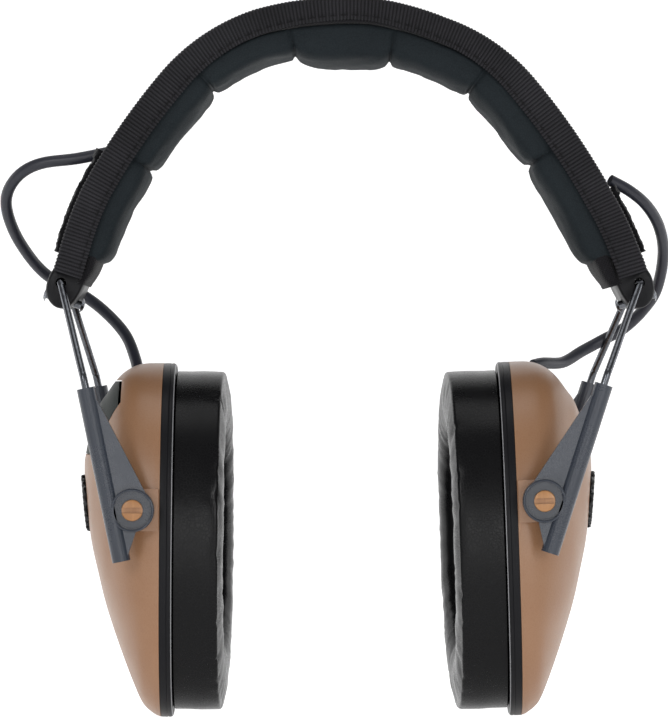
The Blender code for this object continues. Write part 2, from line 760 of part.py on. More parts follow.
def build_grille(label, cup):
    """The microphone's mesh cover, flush in the shell, and the microphone behind it."""
    grille = shell_solid(f"{label}_mic_grille", cup, "black")
    combine(grille, grille_punch(f"{label}_grille_shape", cup, 0), "INTERSECT")
    back = from_ring(SHELL_DEPTH - SHELL_WALL - MIC_CLEAR)
    z = from_centre(GRILLE_UP)
    cylinder(f"{label}_microphone", MIC_RADIUS, (back - MIC_DEPTH, 0, z), (back, 0, z), cup, "black", 20)


def build_base(label, cup):
    """The base ring: a rim between shell and cushion, and the plate that carries speaker and foam."""
    back = from_ring(0)
    front = from_ring(-BASE_THICK)
    rim = flat_oval(CUP_WIDTH, CUP_HEIGHT, from_centre(0))
    base = plate(f"{label}_base_ring", [rim], front, back, SIDEWAYS, cup, "black")
    room = flat_oval(CUP_WIDTH - 2 * BASE_RIM, CUP_HEIGHT - 2 * BASE_RIM, from_centre(0))
    pocket = plate(f"{label}_base_pocket", [room], front + BASE_PLATE, back + THROUGH, SIDEWAYS, cup)
    combine(base, pocket, "DIFFERENCE")
    port = plate(f"{label}_base_port", [ring_hole()], front - THROUGH, back + THROUGH, SIDEWAYS, cup)
    combine(base, port, "DIFFERENCE")


def ring_hole():
    """The round port in the base plate, as (y, z)."""
    steps = 28
    turn = [2 * math.pi * i / steps for i in range(steps)]
    return [(PORT_RADIUS * math.cos(a), from_centre(PORT_RADIUS * math.sin(a))) for a in turn]


def build_cushion(label, cup):
    """The ear cushion: a soft ring with a flat sealing face and a deep ear opening."""
    back = from_ring(-BASE_THICK - GAP)
    face = back - CUSHION_DEPTH
    soft = CUSHION_ROUND

    def ring(x, inset):
        half = CUSHION_HEIGHT / 2 - inset
        return oval(x, CUSHION_WIDTH / 2 - inset, from_centre(half), from_centre(-half))

    def hole(x, inset):
        half = EAR_HEIGHT / 2 + inset
        return oval(x, EAR_WIDTH / 2 + inset, from_centre(half), from_centre(-half))

    rings = [
        ring(back, 1.0),
        ring(back - 1.5, 0.0),
        ring(face + soft, 0.0),
        ring(face + soft * 0.3, soft * 0.3),
        ring(face, soft),
        hole(face, soft * 0.9),
        hole(face + soft * 0.3, soft * 0.3),
        hole(face + soft, 0.0),
        hole(back, 0.0),
    ]
    loft(f"{label}_ear_cushion", rings, cup, "leather", True)


def build_foam(label, cup):
    """The foam sheet that lines the ear opening over the base plate."""
    back = from_ring(-BASE_THICK - GAP)
    clear = 2 * FOAM_CLEAR
    outline = flat_oval(EAR_WIDTH - clear, EAR_HEIGHT - clear, from_centre(0))
    plate(f"{label}_ear_foam", [outline], back - FOAM_THICK, back, SIDEWAYS, cup, "foam")


def build_speaker(label, cup):
    """The speaker, seated behind the port."""
    seat = from_ring(-BASE_THICK + BASE_PLATE + GAP)
    profile = [
        (0, SPEAKER_DEPTH),
        (SPEAKER_RADIUS * 0.55, SPEAKER_DEPTH),
        (SPEAKER_RADIUS * 0.6, SPEAKER_DEPTH * 0.45),
        (SPEAKER_RADIUS, SPEAKER_DEPTH * 0.4),
        (SPEAKER_RADIUS, 0),
        (0, 0),
    ]
    turned(f"{label}_speaker", profile, (seat, 0, from_centre(0)), (1, 0, 0), cup, "black")


def build_board(label, cup):
    """The circuit board, standing behind the speaker."""
    inner = from_ring(BOARD_OUT)
    height, width = BOARD_SIZE
    middle = from_centre(-BOARD_DOWN)
    low = (inner, -width / 2, middle - height / 2)
    box(f"{label}_circuit_board", low, (inner + BOARD_THICK, width / 2, middle + height / 2), cup, "board")


def grommet_ends(rear, more=0.0):
    """The lower and upper ends of the cable grommet at the shell's top, each end longer by more."""
    top = Vector((from_ring(GROMMET_OUT), rear * GROMMET_REAR, from_centre(GROMMET_TOP)))
    tilt = math.radians(GROMMET_TILT)
    way = Vector((math.sin(tilt), 0, math.cos(tilt)))
    return top - way * (GROMMET_LENGTH + more), top + way * more


def build_grommet(label, cup, rear):
    """The rubber grommet where the link cable leaves the shell."""
    low, high = grommet_ends(rear)
    profile = [
        (0, GROMMET_LENGTH),
        (GROMMET_RADIUS * 0.8, GROMMET_LENGTH),
        (GROMMET_RADIUS, GROMMET_LENGTH * 0.75),
        (GROMMET_RADIUS, 0),
        (0, 0),
    ]
    turned(f"{label}_cable_grommet", profile, low, high - low, cup, "black", 16)


def build_screw(name, cup, sign):
    """A slotted pivot screw, through the arm's disc and into the shell's boss."""
    seat = BOSS_FACE + GAP + DISC_THICK - RECESS_DEPTH + GAP
    tip = BOSS_FACE - SCREW_GRIP
    profile = [
        (0, seat + SCREW_HEAD),
        (SCREW_HEAD_RADIUS - 0.4, seat + SCREW_HEAD),
        (SCREW_HEAD_RADIUS, seat + SCREW_HEAD - 0.4),
        (SCREW_HEAD_RADIUS, seat),
        (SCREW_RADIUS, seat),
        (SCREW_RADIUS, tip),
        (0, tip),
    ]
    screw = turned(name, profile, (0, 0, 0), (0, sign, 0), cup, "screw", 24)
    floor = seat + SCREW_HEAD - SLOT_DEPTH
    edges = sorted((sign * floor, sign * (floor + THROUGH)))
    low = (-SLOT_LENGTH / 2, edges[0], -SLOT_WIDTH / 2)
    combine(screw, box(name + "_slot", low, (SLOT_LENGTH / 2, edges[1], SLOT_WIDTH / 2), cup), "DIFFERENCE")


# ---- battery door and cells (left cup) ---------------------------------------------------------------------------------------
def door_punch(name, cup, more):
    """A block through the shell's upper outer face, the size of the battery door plus a margin."""
    low = (from_ring(DOOR_OUT - more), -DOOR_WIDTH / 2 - more, from_centre(DOOR_BOTTOM - more))
    high = (from_ring(SHELL_DEPTH + THROUGH), DOOR_WIDTH / 2 + more, from_centre(DOOR_TOP + more))
    return box(name, low, high, cup)


def build_battery_bay(label, cup, shell):
    """The battery door, cut from the shell's own surface, and two cells behind it."""
    combine(shell, door_punch(f"{label}_door_hole", cup, GAP), "DIFFERENCE")
    door = shell_solid("battery_door", cup, "door")
    combine(door, door_punch("door_shape", cup, 0), "INTERSECT")
    hinge = Vector((from_ring(DOOR_HINGE_OUT), 0, from_centre(DOOR_TOP))) * MM
    door.data.transform(Matrix.Translation(-hinge))
    door.location = hinge
    for number, up in enumerate(CELL_UP, 1):
        x, z = from_ring(CELL_OUT), from_centre(up)
        profile = [
            (0, CELL_LENGTH / 2),
            (CELL_RADIUS * 0.35, CELL_LENGTH / 2),
            (CELL_RADIUS * 0.35, CELL_LENGTH / 2 - 1.2),
            (CELL_RADIUS, CELL_LENGTH / 2 - 1.2),
            (CELL_RADIUS, -CELL_LENGTH / 2),
            (0, -CELL_LENGTH / 2),
        ]
        way = 1 if number == 1 else -1
        turned(f"battery_{number}", profile, (x, 0, z), (0, way, 0), cup, "cell", 20)


# ---- volume knob and jack (right cup) ----------------------------------------------------------------------------------------
def build_control_pod(cup, shell, rear):
    """The flat pod on the right shell's rear side, with a volume knob and an audio socket."""
    middle_x = from_ring(KNOB_OUT)
    x0, x1 = middle_x - POD_WIDTH / 2, middle_x + POD_WIDTH / 2
    middle_z = from_centre(-POD_DOWN)
    z0, z1 = middle_z - POD_HEIGHT / 2, middle_z + POD_HEIGHT / 2
    round_end = POD_WIDTH / 2 - 0.5
    outline = rounded_box(x0, x1, z0, z1, (round_end,) * 4)
    edges = sorted((rear * (BOSS_FACE - POD_DEPTH), rear * BOSS_FACE))
    combine(shell, plate("control_pod", [outline], edges[0], edges[1], UPRIGHT, cup), "UNION")
    knob_z, jack_z = from_centre(-KNOB_DOWN), from_centre(-JACK_DOWN)
    shaft_floor = BOSS_FACE - SHAFT_LENGTH - GAP
    shaft = (middle_x, rear * shaft_floor, knob_z), (middle_x, rear * (BOSS_FACE + THROUGH), knob_z)
    combine(shell, cylinder("shaft_hole", SHAFT_RADIUS + GAP, *shaft, cup, None, 16), "DIFFERENCE")
    jack_floor = BOSS_FACE + JACK_PROUD - JACK_LENGTH - GAP
    jack = (middle_x, rear * jack_floor, jack_z), (middle_x, rear * (BOSS_FACE + THROUGH), jack_z)
    combine(shell, cylinder("jack_hole", JACK_RADIUS + GAP, *jack, cup, None, 20), "DIFFERENCE")
    seat = BOSS_FACE + GAP
    profile = [
        (0, seat + KNOB_THICK),
        (KNOB_RADIUS - 0.8, seat + KNOB_THICK),
        (KNOB_RADIUS, seat + KNOB_THICK - 0.8),
        (KNOB_RADIUS, seat),
        (SHAFT_RADIUS, seat),
        (SHAFT_RADIUS, seat - SHAFT_LENGTH),
        (0, seat - SHAFT_LENGTH),
    ]
    turned("volume_knob", profile, (middle_x, 0, knob_z), (0, rear, 0), cup, "black")
    top = BOSS_FACE + JACK_PROUD
    profile = [
        (JACK_BORE, top),
        (JACK_RADIUS - 0.3, top),
        (JACK_RADIUS, top - 0.3),
        (JACK_RADIUS, top - JACK_LENGTH),
        (0, top - JACK_LENGTH),
        (0, top - JACK_LENGTH + 1.2),
        (JACK_BORE, top - JACK_LENGTH + 1.2),
        (JACK_BORE, top),
    ]
    turned("audio_jack", profile, (middle_x, 0, jack_z), (0, rear, 0), cup, "black", 20)


def build_side(label, sign, strip):
    """Everything below the band on one side, posed at rest."""
    side = empty(f"{label}_side", None, (0, 0, 0), (0, 0, 0 if sign > 0 else 180))
    rear = sign  # the rear is +Y in the world, which is -Y in the left side's turned frame
    build_band_end(label, end_frame(side), strip)
    hinge_x, hinge_z = hinge_point()
    bail = empty(f"{label}_bail_hinge", side, (hinge_x, 0, hinge_z), (0, BAIL_LEAN[label], 0))
    build_wire_bail(label, bail)
    arms = empty(f"{label}_arm_slide", bail)
    build_arm(f"{label}_front_arm", arms, -rear)
    build_arm(f"{label}_rear_arm", arms, rear)
    cup = empty(
        f"{label}_cup_pivot",
        arms,
        (-PIVOT_INSET, 0, -PIVOT_DROP),
        (0, -BAIL_LEAN[label] - CUP_LEAN[label], 0),
    )
    shell = build_shell(label, cup, rear)
    build_grille(label, cup)
    build_base(label, cup)
    build_cushion(label, cup)
    build_foam(label, cup)
    build_speaker(label, cup)
    build_board(label, cup)
    build_grommet(label, cup, rear)
    build_screw(f"{label}_front_pivot_screw", cup, -rear)
    build_screw(f"{label}_rear_pivot_screw", cup, rear)
    if label == "left":
        build_battery_bay(label, cup, shell)
    else:
        build_control_pod(cup, shell, rear)


def build_cable(label):
    """The link cable on one side, from the cup's grommet over the hinge and back under the cover's flap."""
    route = smooth_route(CABLE_POINTS[label], CABLE_STEP)
    tube(f"{label}_link_cable", route, CABLE_RADIUS, None, "cable", 2)


def main():
    """Builds the earmuff at rest."""
    clear_scene()
    strip = build_spring_strip()
    build_band_cover()
    build_bindings()
    build_head_pad()
    for label, sign in (("left", -1), ("right", 1)):
        build_cover_flap(label, sign)
        build_side(label, sign, strip)
        build_cable(label)


main()
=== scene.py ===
"""Looks of an over-head electronic earmuff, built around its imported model."""

import json
import logging
import math
from collections.abc import Callable, Sequence
from dataclasses import dataclass, field
from enum import Enum

import bmesh
import bpy
from mathutils import Matrix, Vector, noise


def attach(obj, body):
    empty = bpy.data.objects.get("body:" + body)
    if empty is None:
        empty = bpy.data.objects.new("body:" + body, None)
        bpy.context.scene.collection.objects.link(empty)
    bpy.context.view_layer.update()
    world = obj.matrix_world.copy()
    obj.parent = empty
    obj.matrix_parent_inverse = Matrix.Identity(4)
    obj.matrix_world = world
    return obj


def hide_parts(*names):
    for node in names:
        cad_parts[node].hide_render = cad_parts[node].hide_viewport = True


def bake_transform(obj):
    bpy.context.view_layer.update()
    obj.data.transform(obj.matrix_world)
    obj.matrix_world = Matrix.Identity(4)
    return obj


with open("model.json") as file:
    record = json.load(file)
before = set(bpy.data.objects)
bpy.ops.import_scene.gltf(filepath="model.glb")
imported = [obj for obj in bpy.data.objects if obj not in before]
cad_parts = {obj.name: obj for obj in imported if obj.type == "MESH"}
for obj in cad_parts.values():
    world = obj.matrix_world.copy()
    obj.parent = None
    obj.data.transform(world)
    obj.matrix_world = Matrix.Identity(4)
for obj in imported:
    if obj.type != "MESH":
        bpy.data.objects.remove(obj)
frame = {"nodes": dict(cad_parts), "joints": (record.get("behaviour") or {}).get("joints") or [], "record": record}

log = logging.getLogger("earmuff")
MM = 0.001  # sizes below are in millimetres, and meshes in metres
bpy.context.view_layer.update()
CLOTH_STEPS = 20
CLOTH_QUALITY = 6
CLOTH_STIFFNESS = 40
CLOTH_BENDING = 1.5
COAT_ROUGHNESS = 0.18
SHEEN_ROUGHNESS = 0.5

Ring = list[Vector]


class Side(Enum):
    """A side of the earmuff as seen from the front, with its direction along X."""

    LEFT = -1
    RIGHT = 1

    @property
    def label(self) -> str:
        """The word that this side's nodes start with."""
        return self.name.lower()


class Grain(Enum):
    """The kind of fine relief that a finish has."""

    MOULDED = "moulded"
    LEATHER = "leather"
    WEAVE = "weave"
    RIB = "rib"
    FUZZ = "fuzz"
    DRAWN = "drawn"
    PORES = "pores"


# ---- shader maths ----------------------------------------------------------------------------------------
class Value:
    """A number socket that takes part in shader maths."""

    def __init__(self, graph: "Graph", socket: bpy.types.NodeSocket) -> None:
        """Wraps a socket of a graph."""
        self.graph = graph
        self.socket = socket

    def _math(self, operation: str, first: "Value | float", second: "Value | float") -> "Value":
        """Adds a Math node on two values."""
        made = self.graph.node("ShaderNodeMath", {"operation": operation}, {0: first, 1: second})
        return Value(self.graph, made.outputs[0])

    def __add__(self, other: "Value | float") -> "Value":
        """The sum."""
        return self._math("ADD", self, other)

    def __sub__(self, other: "Value | float") -> "Value":
        """The difference."""
        return self._math("SUBTRACT", self, other)

    def __rsub__(self, other: float) -> "Value":
        """The difference from a number."""
        return self._math("SUBTRACT", other, self)

    def __mul__(self, other: "Value | float") -> "Value":
        """The product."""
        return self._math("MULTIPLY", self, other)

    def __pow__(self, other: float) -> "Value":
        """The power."""
        return self._math("POWER", self, other)

    __radd__ = __add__
    __rmul__ = __mul__

    def rib(self) -> "Value":
        """The sine's size, which rises to 1 once each half turn."""
        return self._math("ABSOLUTE", self._math("SINE", self, 0.0), 0.0)

    def wave(self) -> "Value":
        """The sine, from 0 to 1."""
        return self._math("SINE", self, 0.0) * 0.5 + 0.5


class Graph:
    """The nodes of one material."""

    def __init__(self, material: bpy.types.Material) -> None:
        """Takes over a material's nodes, with its Principled shader kept."""
        material.use_nodes = True
        self.tree = material.node_tree
        self.shader = self.tree.nodes["Principled BSDF"]

    def node(self, kind: str, settings: dict | None = None, inputs: dict | None = None) -> bpy.types.Node:
        """Adds a node.

        Args:
            kind: The node's type.
            settings: The node's own settings, set first; "stops" holds a ramp's stops.
            inputs: Values or links by socket name or number.

        Returns:
            The node.
        """
        made = self.tree.nodes.new(kind)
        for name, value in (settings or {}).items():
            if name == "stops":
                self._set_stops(made.color_ramp, value)
            else:
                setattr(made, name, value)
        for name, value in (inputs or {}).items():
            self.feed(made.inputs[name], value)
        return made

    @staticmethod
    def _set_stops(ramp: bpy.types.ColorRamp, stops: Sequence[tuple[float, float]]) -> None:
        """Sets a grey ramp's stops, each a place and a level."""
        for element, (place, level) in zip(ramp.elements, stops):
            element.position = place
            element.color = (level, level, level, 1.0)

    def feed(self, socket: bpy.types.NodeSocket, value: object) -> None:
        """Links a value or socket to a socket, or sets it to a constant."""
        if isinstance(value, Value):
            self.tree.links.new(value.socket, socket)
        elif isinstance(value, bpy.types.NodeSocket):
            self.tree.links.new(value, socket)
        else:
            socket.default_value = value

    def place(self, kind: str = "Object") -> bpy.types.NodeSocket:
        """The texture coordinates of the surface."""
        return self.node("ShaderNodeTexCoord").outputs[kind]

    def noise(self, scale: float, detail: float = 3.0, stretch: tuple = (1, 1, 1)) -> Value:
        """Cloudy noise at a scale per metre, stretched along the axes."""
        mapped = self.node("ShaderNodeMapping", {}, {"Vector": self.place(), "Scale": stretch})
        made = self.node(
            "ShaderNodeTexNoise", {}, {"Vector": mapped.outputs[0], "Scale": scale, "Detail": detail}
        )
        return Value(self, made.outputs[0])

    def cells(self, scale: float, feature: str = "DISTANCE_TO_EDGE") -> Value:
        """Cell edges or centres at a scale per metre."""
        made = self.node(
            "ShaderNodeTexVoronoi", {"feature": feature}, {"Vector": self.place(), "Scale": scale}
        )
        return Value(self, made.outputs["Distance"])

    def ramp(self, value: Value, stops: Sequence[tuple[float, float]]) -> Value:
        """A value passed through a grey ramp of two stops."""
        made = self.node("ShaderNodeValToRGB", {"stops": stops}, {0: value})
        return Value(self, made.outputs[0])

    def mix(self, share: Value, first: Sequence[float], second: Sequence[float]) -> bpy.types.NodeSocket:
        """A colour between two others."""
        made = self.node("ShaderNodeMix", {"data_type": "RGBA"}, {0: share, 6: (*first, 1), 7: (*second, 1)})
        return made.outputs[2]

    def uv(self) -> tuple[Value, Value]:
        """The surface's own lengths along and around, in millimetres."""
        made = self.node("ShaderNodeSeparateXYZ", {}, {0: self.place("UV")})
        return Value(self, made.outputs[0]), Value(self, made.outputs[1])


@dataclass(frozen=True)
class Finish:
    """One finish: its colours, gloss and relief.

    Attributes:
        name: The material's name.
        colour: The main colour, linear.
        shade: The colour painted into the grain's hollows and seams as shade, and of blotches (on the board, its
            traces' colour), linear.
        roughness: The least and most roughness.
        grain: The kind of relief.
        grain_scale: Grains per metre, or threads per millimetre for a weave.
        relief: The relief's depth in metres.
        metallic: 1 for bare metal.
        coat: The strength of a clear top layer.
        sheen: The strength of a fabric's sheen.
        blotch: Slow colour changes per metre.
        specular: The strength of the surface's own reflection.
    """

    name: str
    colour: tuple[float, float, float]
    shade: tuple[float, float, float]
    roughness: tuple[float, float]
    grain: Grain
    grain_scale: float
    relief: float
    metallic: float = 0.0
    coat: float = 0.0
    sheen: float = 0.0
    blotch: float = 60.0
    specular: float = 0.5

    def material(self) -> bpy.types.Material:
        """The finish's material, made once."""
        found = bpy.data.materials.get(self.name)
        if found:
            return found
        made = bpy.data.materials.new(self.name)
        graph = Graph(made)
        shader = graph.shader.inputs
        shader["Metallic"].default_value = self.metallic
        shader["Coat Weight"].default_value = self.coat
        shader["Coat Roughness"].default_value = COAT_ROUGHNESS
        shader["Specular IOR Level"].default_value = self.specular
        shader["Sheen Weight"].default_value = self.sheen
        shader["Sheen Roughness"].default_value = SHEEN_ROUGHNESS
        height, painted_hollow_shade = self._relief(graph)
        cloud = graph.ramp(graph.noise(self.blotch, 4.0), ((0.35, 0.0), (0.7, 1.0)))
        # The grain's hollows are mixed towards the shade colour as painted shade; the cloud adds real blotches.
        graph.feed(shader["Base Color"], graph.mix(cloud * 0.3 + painted_hollow_shade * 0.7, self.colour, self.shade))
        low, high = self.roughness
        graph.feed(shader["Roughness"], low + (cloud * 0.5 + painted_hollow_shade * 0.5) * (high - low))
        bump = graph.node(
            "ShaderNodeBump", {}, {"Height": height, "Distance": self.relief, "Strength": 1.0}
        )
        graph.feed(shader["Normal"], bump.outputs[0])
        return made

    def _relief(self, graph: Graph) -> tuple[Value, Value]:
        """The height of the grain, and where shade is painted into its hollows, each from 0 to 1."""
        scale = self.grain_scale
        if self.grain is Grain.WEAVE:
            along, around = graph.uv()
            turn = math.tau * scale
            warp, weft = (along * turn).wave(), (around * turn).wave()
            height = (warp * (1 - weft) + weft * (1 - warp)) * 0.8 + graph.noise(1800.0) * 0.2
            return height, 1 - height
        if self.grain is Grain.RIB:
            along, around = graph.uv()
            rib = (along * (math.pi * scale)).rib()
            threads = (around * (math.tau * 2.2)).wave()
            return rib * 0.8 + threads * 0.2, 1 - rib * (0.75 + threads * 0.25)
        if self.grain is Grain.LEATHER:
            cells = graph.ramp(graph.cells(scale), ((0.0, 0.0), (0.16, 1.0)))
            folds = graph.noise(170.0, 5.0)
            return cells * 0.45 + folds * 0.55, (1 - cells) * 0.7
        if self.grain is Grain.FUZZ:
            tufts = graph.noise(scale, 8.0)
            return tufts, graph.ramp(tufts, ((0.35, 1.0), (0.65, 0.0)))
        if self.grain is Grain.DRAWN:
            lines = graph.noise(scale, 3.0, (1.0, 1.0, 0.04))
            return lines, graph.ramp(lines, ((0.4, 0.7), (0.62, 0.0)))
        if self.grain is Grain.PORES:
            pores = graph.ramp(graph.cells(scale, "F1"), ((0.1, 0.0), (0.6, 1.0)))
            return pores, 1 - pores
        fine = graph.noise(scale, 4.0)
        return fine, graph.ramp(fine, ((0.3, 0.5), (0.55, 0.0)))


TAN = Finish("tan_shell", (0.27, 0.142, 0.074), (0.22, 0.1, 0.042), (0.33, 0.46), Grain.MOULDED, 2600, 4e-5)
GOLD = Finish("tan_screw", (0.38, 0.185, 0.07), (0.24, 0.1, 0.03), (0.3, 0.46), Grain.DRAWN, 900, 4e-5)
SLATE = Finish(
    "slate_arm", (0.026, 0.032, 0.045), (0.015, 0.019, 0.028), (0.25, 0.38), Grain.MOULDED, 3000, 4e-5,
)
BLACK = Finish(
    "black_moulding", (0.0085, 0.0085, 0.01), (0.005, 0.005, 0.006), (0.34, 0.5), Grain.MOULDED, 2600,
    3e-5, specular=0.12,
)
DOOR = Finish(
    "door_moulding", (0.018, 0.023, 0.021), (0.012, 0.015, 0.014), (0.5, 0.62), Grain.MOULDED, 2600,
    4e-5, specular=0.15,
)
# Light grey for the lip tube on the black ring: a painted highlight.
HIGHLIGHT_LINE = Finish("flange_edge", (0.26, 0.26, 0.27), (0.16, 0.16, 0.17), (0.3, 0.4), Grain.MOULDED, 2600, 2e-5)
WIRE = Finish(
    "dark_wire", (0.13, 0.136, 0.15), (0.06, 0.063, 0.07), (0.2, 0.32), Grain.DRAWN, 1400, 1e-5, 1.0,
)
SPRING = Finish(
    "spring_steel", (0.5, 0.51, 0.53), (0.33, 0.34, 0.36), (0.25, 0.4), Grain.DRAWN, 1600, 1e-5, 1.0,
)
CUSHION = Finish(
    "glossy_leatherette", (0.0045, 0.0045, 0.005), (0.0028, 0.0028, 0.0032), (0.22, 0.38),
    Grain.LEATHER, 1100, 2.4e-5, specular=0.14,
)
PAD = Finish(
    "pad_leatherette", (0.016, 0.0205, 0.0235), (0.008, 0.0102, 0.012), (0.58, 0.74), Grain.LEATHER,
    1500, 5e-5, blotch=35, specular=0.05,
)
NYLON = Finish(
    "woven_nylon", (0.0095, 0.009, 0.011), (0.003, 0.003, 0.0038), (0.75, 0.95), Grain.WEAVE, 1.1, 2e-4,
    sheen=0.08, specular=0.15,
)
# The near-black second colour is painted shade in the grooves between the ribs.
RIBBON = Finish(
    "grosgrain", (0.019, 0.0182, 0.022), (0.001, 0.001, 0.0015), (0.6, 0.85), Grain.RIB, 1 / 1.05, 1e-4,
    sheen=0.06, specular=0.2,
)
PILE = Finish(
    "hook_pile", (0.008, 0.0075, 0.009), (0.0025, 0.0025, 0.003), (0.85, 1.0), Grain.FUZZ, 1500, 4e-4,
    sheen=0.12, specular=0.1,
)
THREAD = Finish(
    "sewing_thread", (0.004, 0.004, 0.005), (0.002, 0.002, 0.0025), (0.6, 0.8), Grain.FUZZ, 3000, 5e-5,
    specular=0.2,
)
RUBBER = Finish(
    "soft_rubber", (0.009, 0.009, 0.01), (0.005, 0.005, 0.006), (0.55, 0.75), Grain.MOULDED, 1800, 3e-5,
    specular=0.3,
)
JACKET = Finish(
    "cable_jacket", (0.02, 0.0215, 0.031), (0.012, 0.013, 0.019), (0.36, 0.5), Grain.MOULDED, 1500,
    3e-5, specular=0.4,
)
FOAM = Finish(
    "open_foam", (0.02, 0.02, 0.022), (0.004, 0.004, 0.005), (0.9, 1.0), Grain.PORES, 1300, 3e-4,
    specular=0.1,
)
BOARD = Finish("circuit_board", (0.012, 0.13, 0.05), (0.3, 0.2, 0.05), (0.3, 0.5), Grain.PORES, 260, 3e-5)
CELL = Finish(
    "cell_wrap", (0.42, 0.33, 0.10), (0.25, 0.19, 0.06), (0.22, 0.35), Grain.DRAWN, 700, 1e-5, 0.8,
)
MESH = Finish(
    "black_mesh", (0.009, 0.009, 0.01), (0.003, 0.003, 0.004), (0.35, 0.55), Grain.MOULDED, 2600, 3e-5,
    0.3,
)


# ---- mesh helpers ----------------------------------------------------------------------------------------
def smooth(obj: bpy.types.Object, angle: float = 35.0) -> None:
    """Shades a piece smooth, with edges over an angle in degrees kept sharp."""
    obj.data.shade_smooth()
    obj.data.set_sharp_from_angle(angle=math.radians(angle))


def loft(
    name: str, rings: Sequence[Ring], loop: bool = False, lengths: Sequence[float] | None = None
) -> bpy.types.Object:
    """A closed surface through rings, with its real lengths as texture coordinates.

    Args:
        name: The piece's name.
        rings: Rings of equal counts, in millimetres.
        loop: True where the last ring joins the first.
        lengths: The lengths along at which the rings lie, where they are known.

    Returns:
        The object, in metres.
    """
    work = bmesh.new()
    grid = [[work.verts.new(p * MM) for p in ring] for ring in rings]
    layer = work.loops.layers.uv.new("lengths")
    count = len(grid[0])
    along = [0.0]
    for a, b in zip(rings, [*rings[1:], rings[0]]):
        along.append(along[-1] + sum((p - q).length for p, q in zip(a, b)) / count)
    along = list(lengths or along)
    around = [0.0]
    middle = rings[len(rings) // 2]
    for j in range(count):
        around.append(around[-1] + (middle[(j + 1) % count] - middle[j]).length)
    for i in range(len(grid) if loop else len(grid) - 1):
        here, there = grid[i], grid[(i + 1) % len(grid)]
        for j in range(count):
            k = (j + 1) % count
            face = work.faces.new((here[j], here[k], there[k], there[j]))
            places = ((i, j), (i, j + 1), (i + 1, j + 1), (i + 1, j))
            for corner, (u, v) in zip(face.loops, places):
                corner[layer].uv = (along[u], around[v])
    if not loop:
        work.faces.new(grid[0])
        work.faces.new(grid[-1])
    bmesh.ops.recalc_face_normals(work, faces=work.faces)
    mesh = bpy.data.meshes.new(name)
    work.to_mesh(mesh)
    work.free()
    made = bpy.data.objects.new(name, mesh)
    bpy.context.scene.collection.objects.link(made)
    smooth(made)
    return made


def settle(obj: bpy.types.Object) -> None:
    """Applies an object's modifiers to its mesh."""
    graph = bpy.context.evaluated_depsgraph_get()
    mesh = bpy.data.meshes.new_from_object(obj.evaluated_get(graph), depsgraph=graph)
    obj.modifiers.clear()
    obj.data = mesh


def cut(target: bpy.types.Object, tool: bpy.types.Object, operation: str) -> None:
    """Applies a Boolean of a target with a tool, and removes the tool."""
    step = target.modifiers.new("cut", "BOOLEAN")
    step.operation = operation
    step.object = tool
    bpy.context.view_layer.update()
    settle(target)
    bpy.data.objects.remove(tool, do_unlink=True)


def tube_rings(path: Sequence[Vector], radius: float, sides: int = 12) -> list[Ring]:
    """Rings of a round tube along a path, turned as little as possible between points."""
    rings: list[Ring] = []
    across = Vector((0.3, 0.2, 1.0))
    for i, point in enumerate(path):
        way = (path[min(i + 1, len(path) - 1)] - path[max(i - 1, 0)]).normalized()
        across = (across - way * across.dot(way)).normalized()
        other = way.cross(across)
        turns = [math.tau * k / sides for k in range(sides)]
        rings.append([point + (across * math.cos(a) + other * math.sin(a)) * radius for a in turns])
    return rings


def stitches(name: str, path: Sequence[Vector], long: float, gap: float, radius: float) -> bpy.types.Object:
    """A row of sewn stitches along a path.

    Args:
        name: The piece's name.
        path: Points of the row, in millimetres.
        long: A stitch's length.
        gap: The gap after it.
        radius: The thread's radius.

    Returns:
        One object that holds every stitch.
    """
    rows: list[bpy.types.Object] = []
    line = evenly(path, (long + gap) / 4)
    for start in range(0, len(line) - 4, 4):
        run = line[start : start + 4]
        rings = tube_rings(run, radius, 6)
        for ring, centre, share in ((rings[0], run[0], 0.4), (rings[-1], run[-1], 0.4)):
            for k, point in enumerate(ring):
                ring[k] = centre.lerp(point, share)
        rows.append(loft(name, rings))
    return joined(name, rows)


def joined(name: str, pieces: Sequence[bpy.types.Object]) -> bpy.types.Object:
    """One object made of several, which are removed."""
    work = bmesh.new()
    for piece in pieces:
        work.from_mesh(piece.data)
        bpy.data.objects.remove(piece, do_unlink=True)
    mesh = bpy.data.meshes.new(name)
    work.to_mesh(mesh)
    work.free()
    made = bpy.data.objects.new(name, mesh)
    bpy.context.scene.collection.objects.link(made)
    smooth(made)
    made.name = name
    return made


def evenly(path: Sequence[Vector], step: float) -> list[Vector]:
    """Evenly spaced points along straight runs between points."""
    lengths = [0.0]
    for a, b in zip(path, path[1:]):
        lengths.append(lengths[-1] + (b - a).length)
    count = max(2, round(lengths[-1] / step))
    line, k = [], 0
    for i in range(count + 1):
        at = lengths[-1] * i / count
        while k < len(path) - 2 and lengths[k + 1] < at:
            k += 1
        run = max(lengths[k + 1] - lengths[k], 1e-9)
        line.append(path[k].lerp(path[k + 1], min(1.0, (at - lengths[k]) / run)))
    return line


def smooth_line(points: Sequence[Vector], parts: int = 20) -> list[Vector]:
    """Points of a smooth curve through the given ones."""
    knots = [2 * points[0] - points[1], *points, 2 * points[-1] - points[-2]]
    line = []
    for a, b, c, d in zip(knots, knots[1:], knots[2:], knots[3:]):
        square, cube = 2 * a - 5 * b + 4 * c - d, 3 * b - a - 3 * c + d
        for i in range(parts):
            t = i / parts
            line.append(0.5 * (2 * b + (c - a) * t + square * t**2 + cube * t**3))
    return [*line, points[-1].copy()]


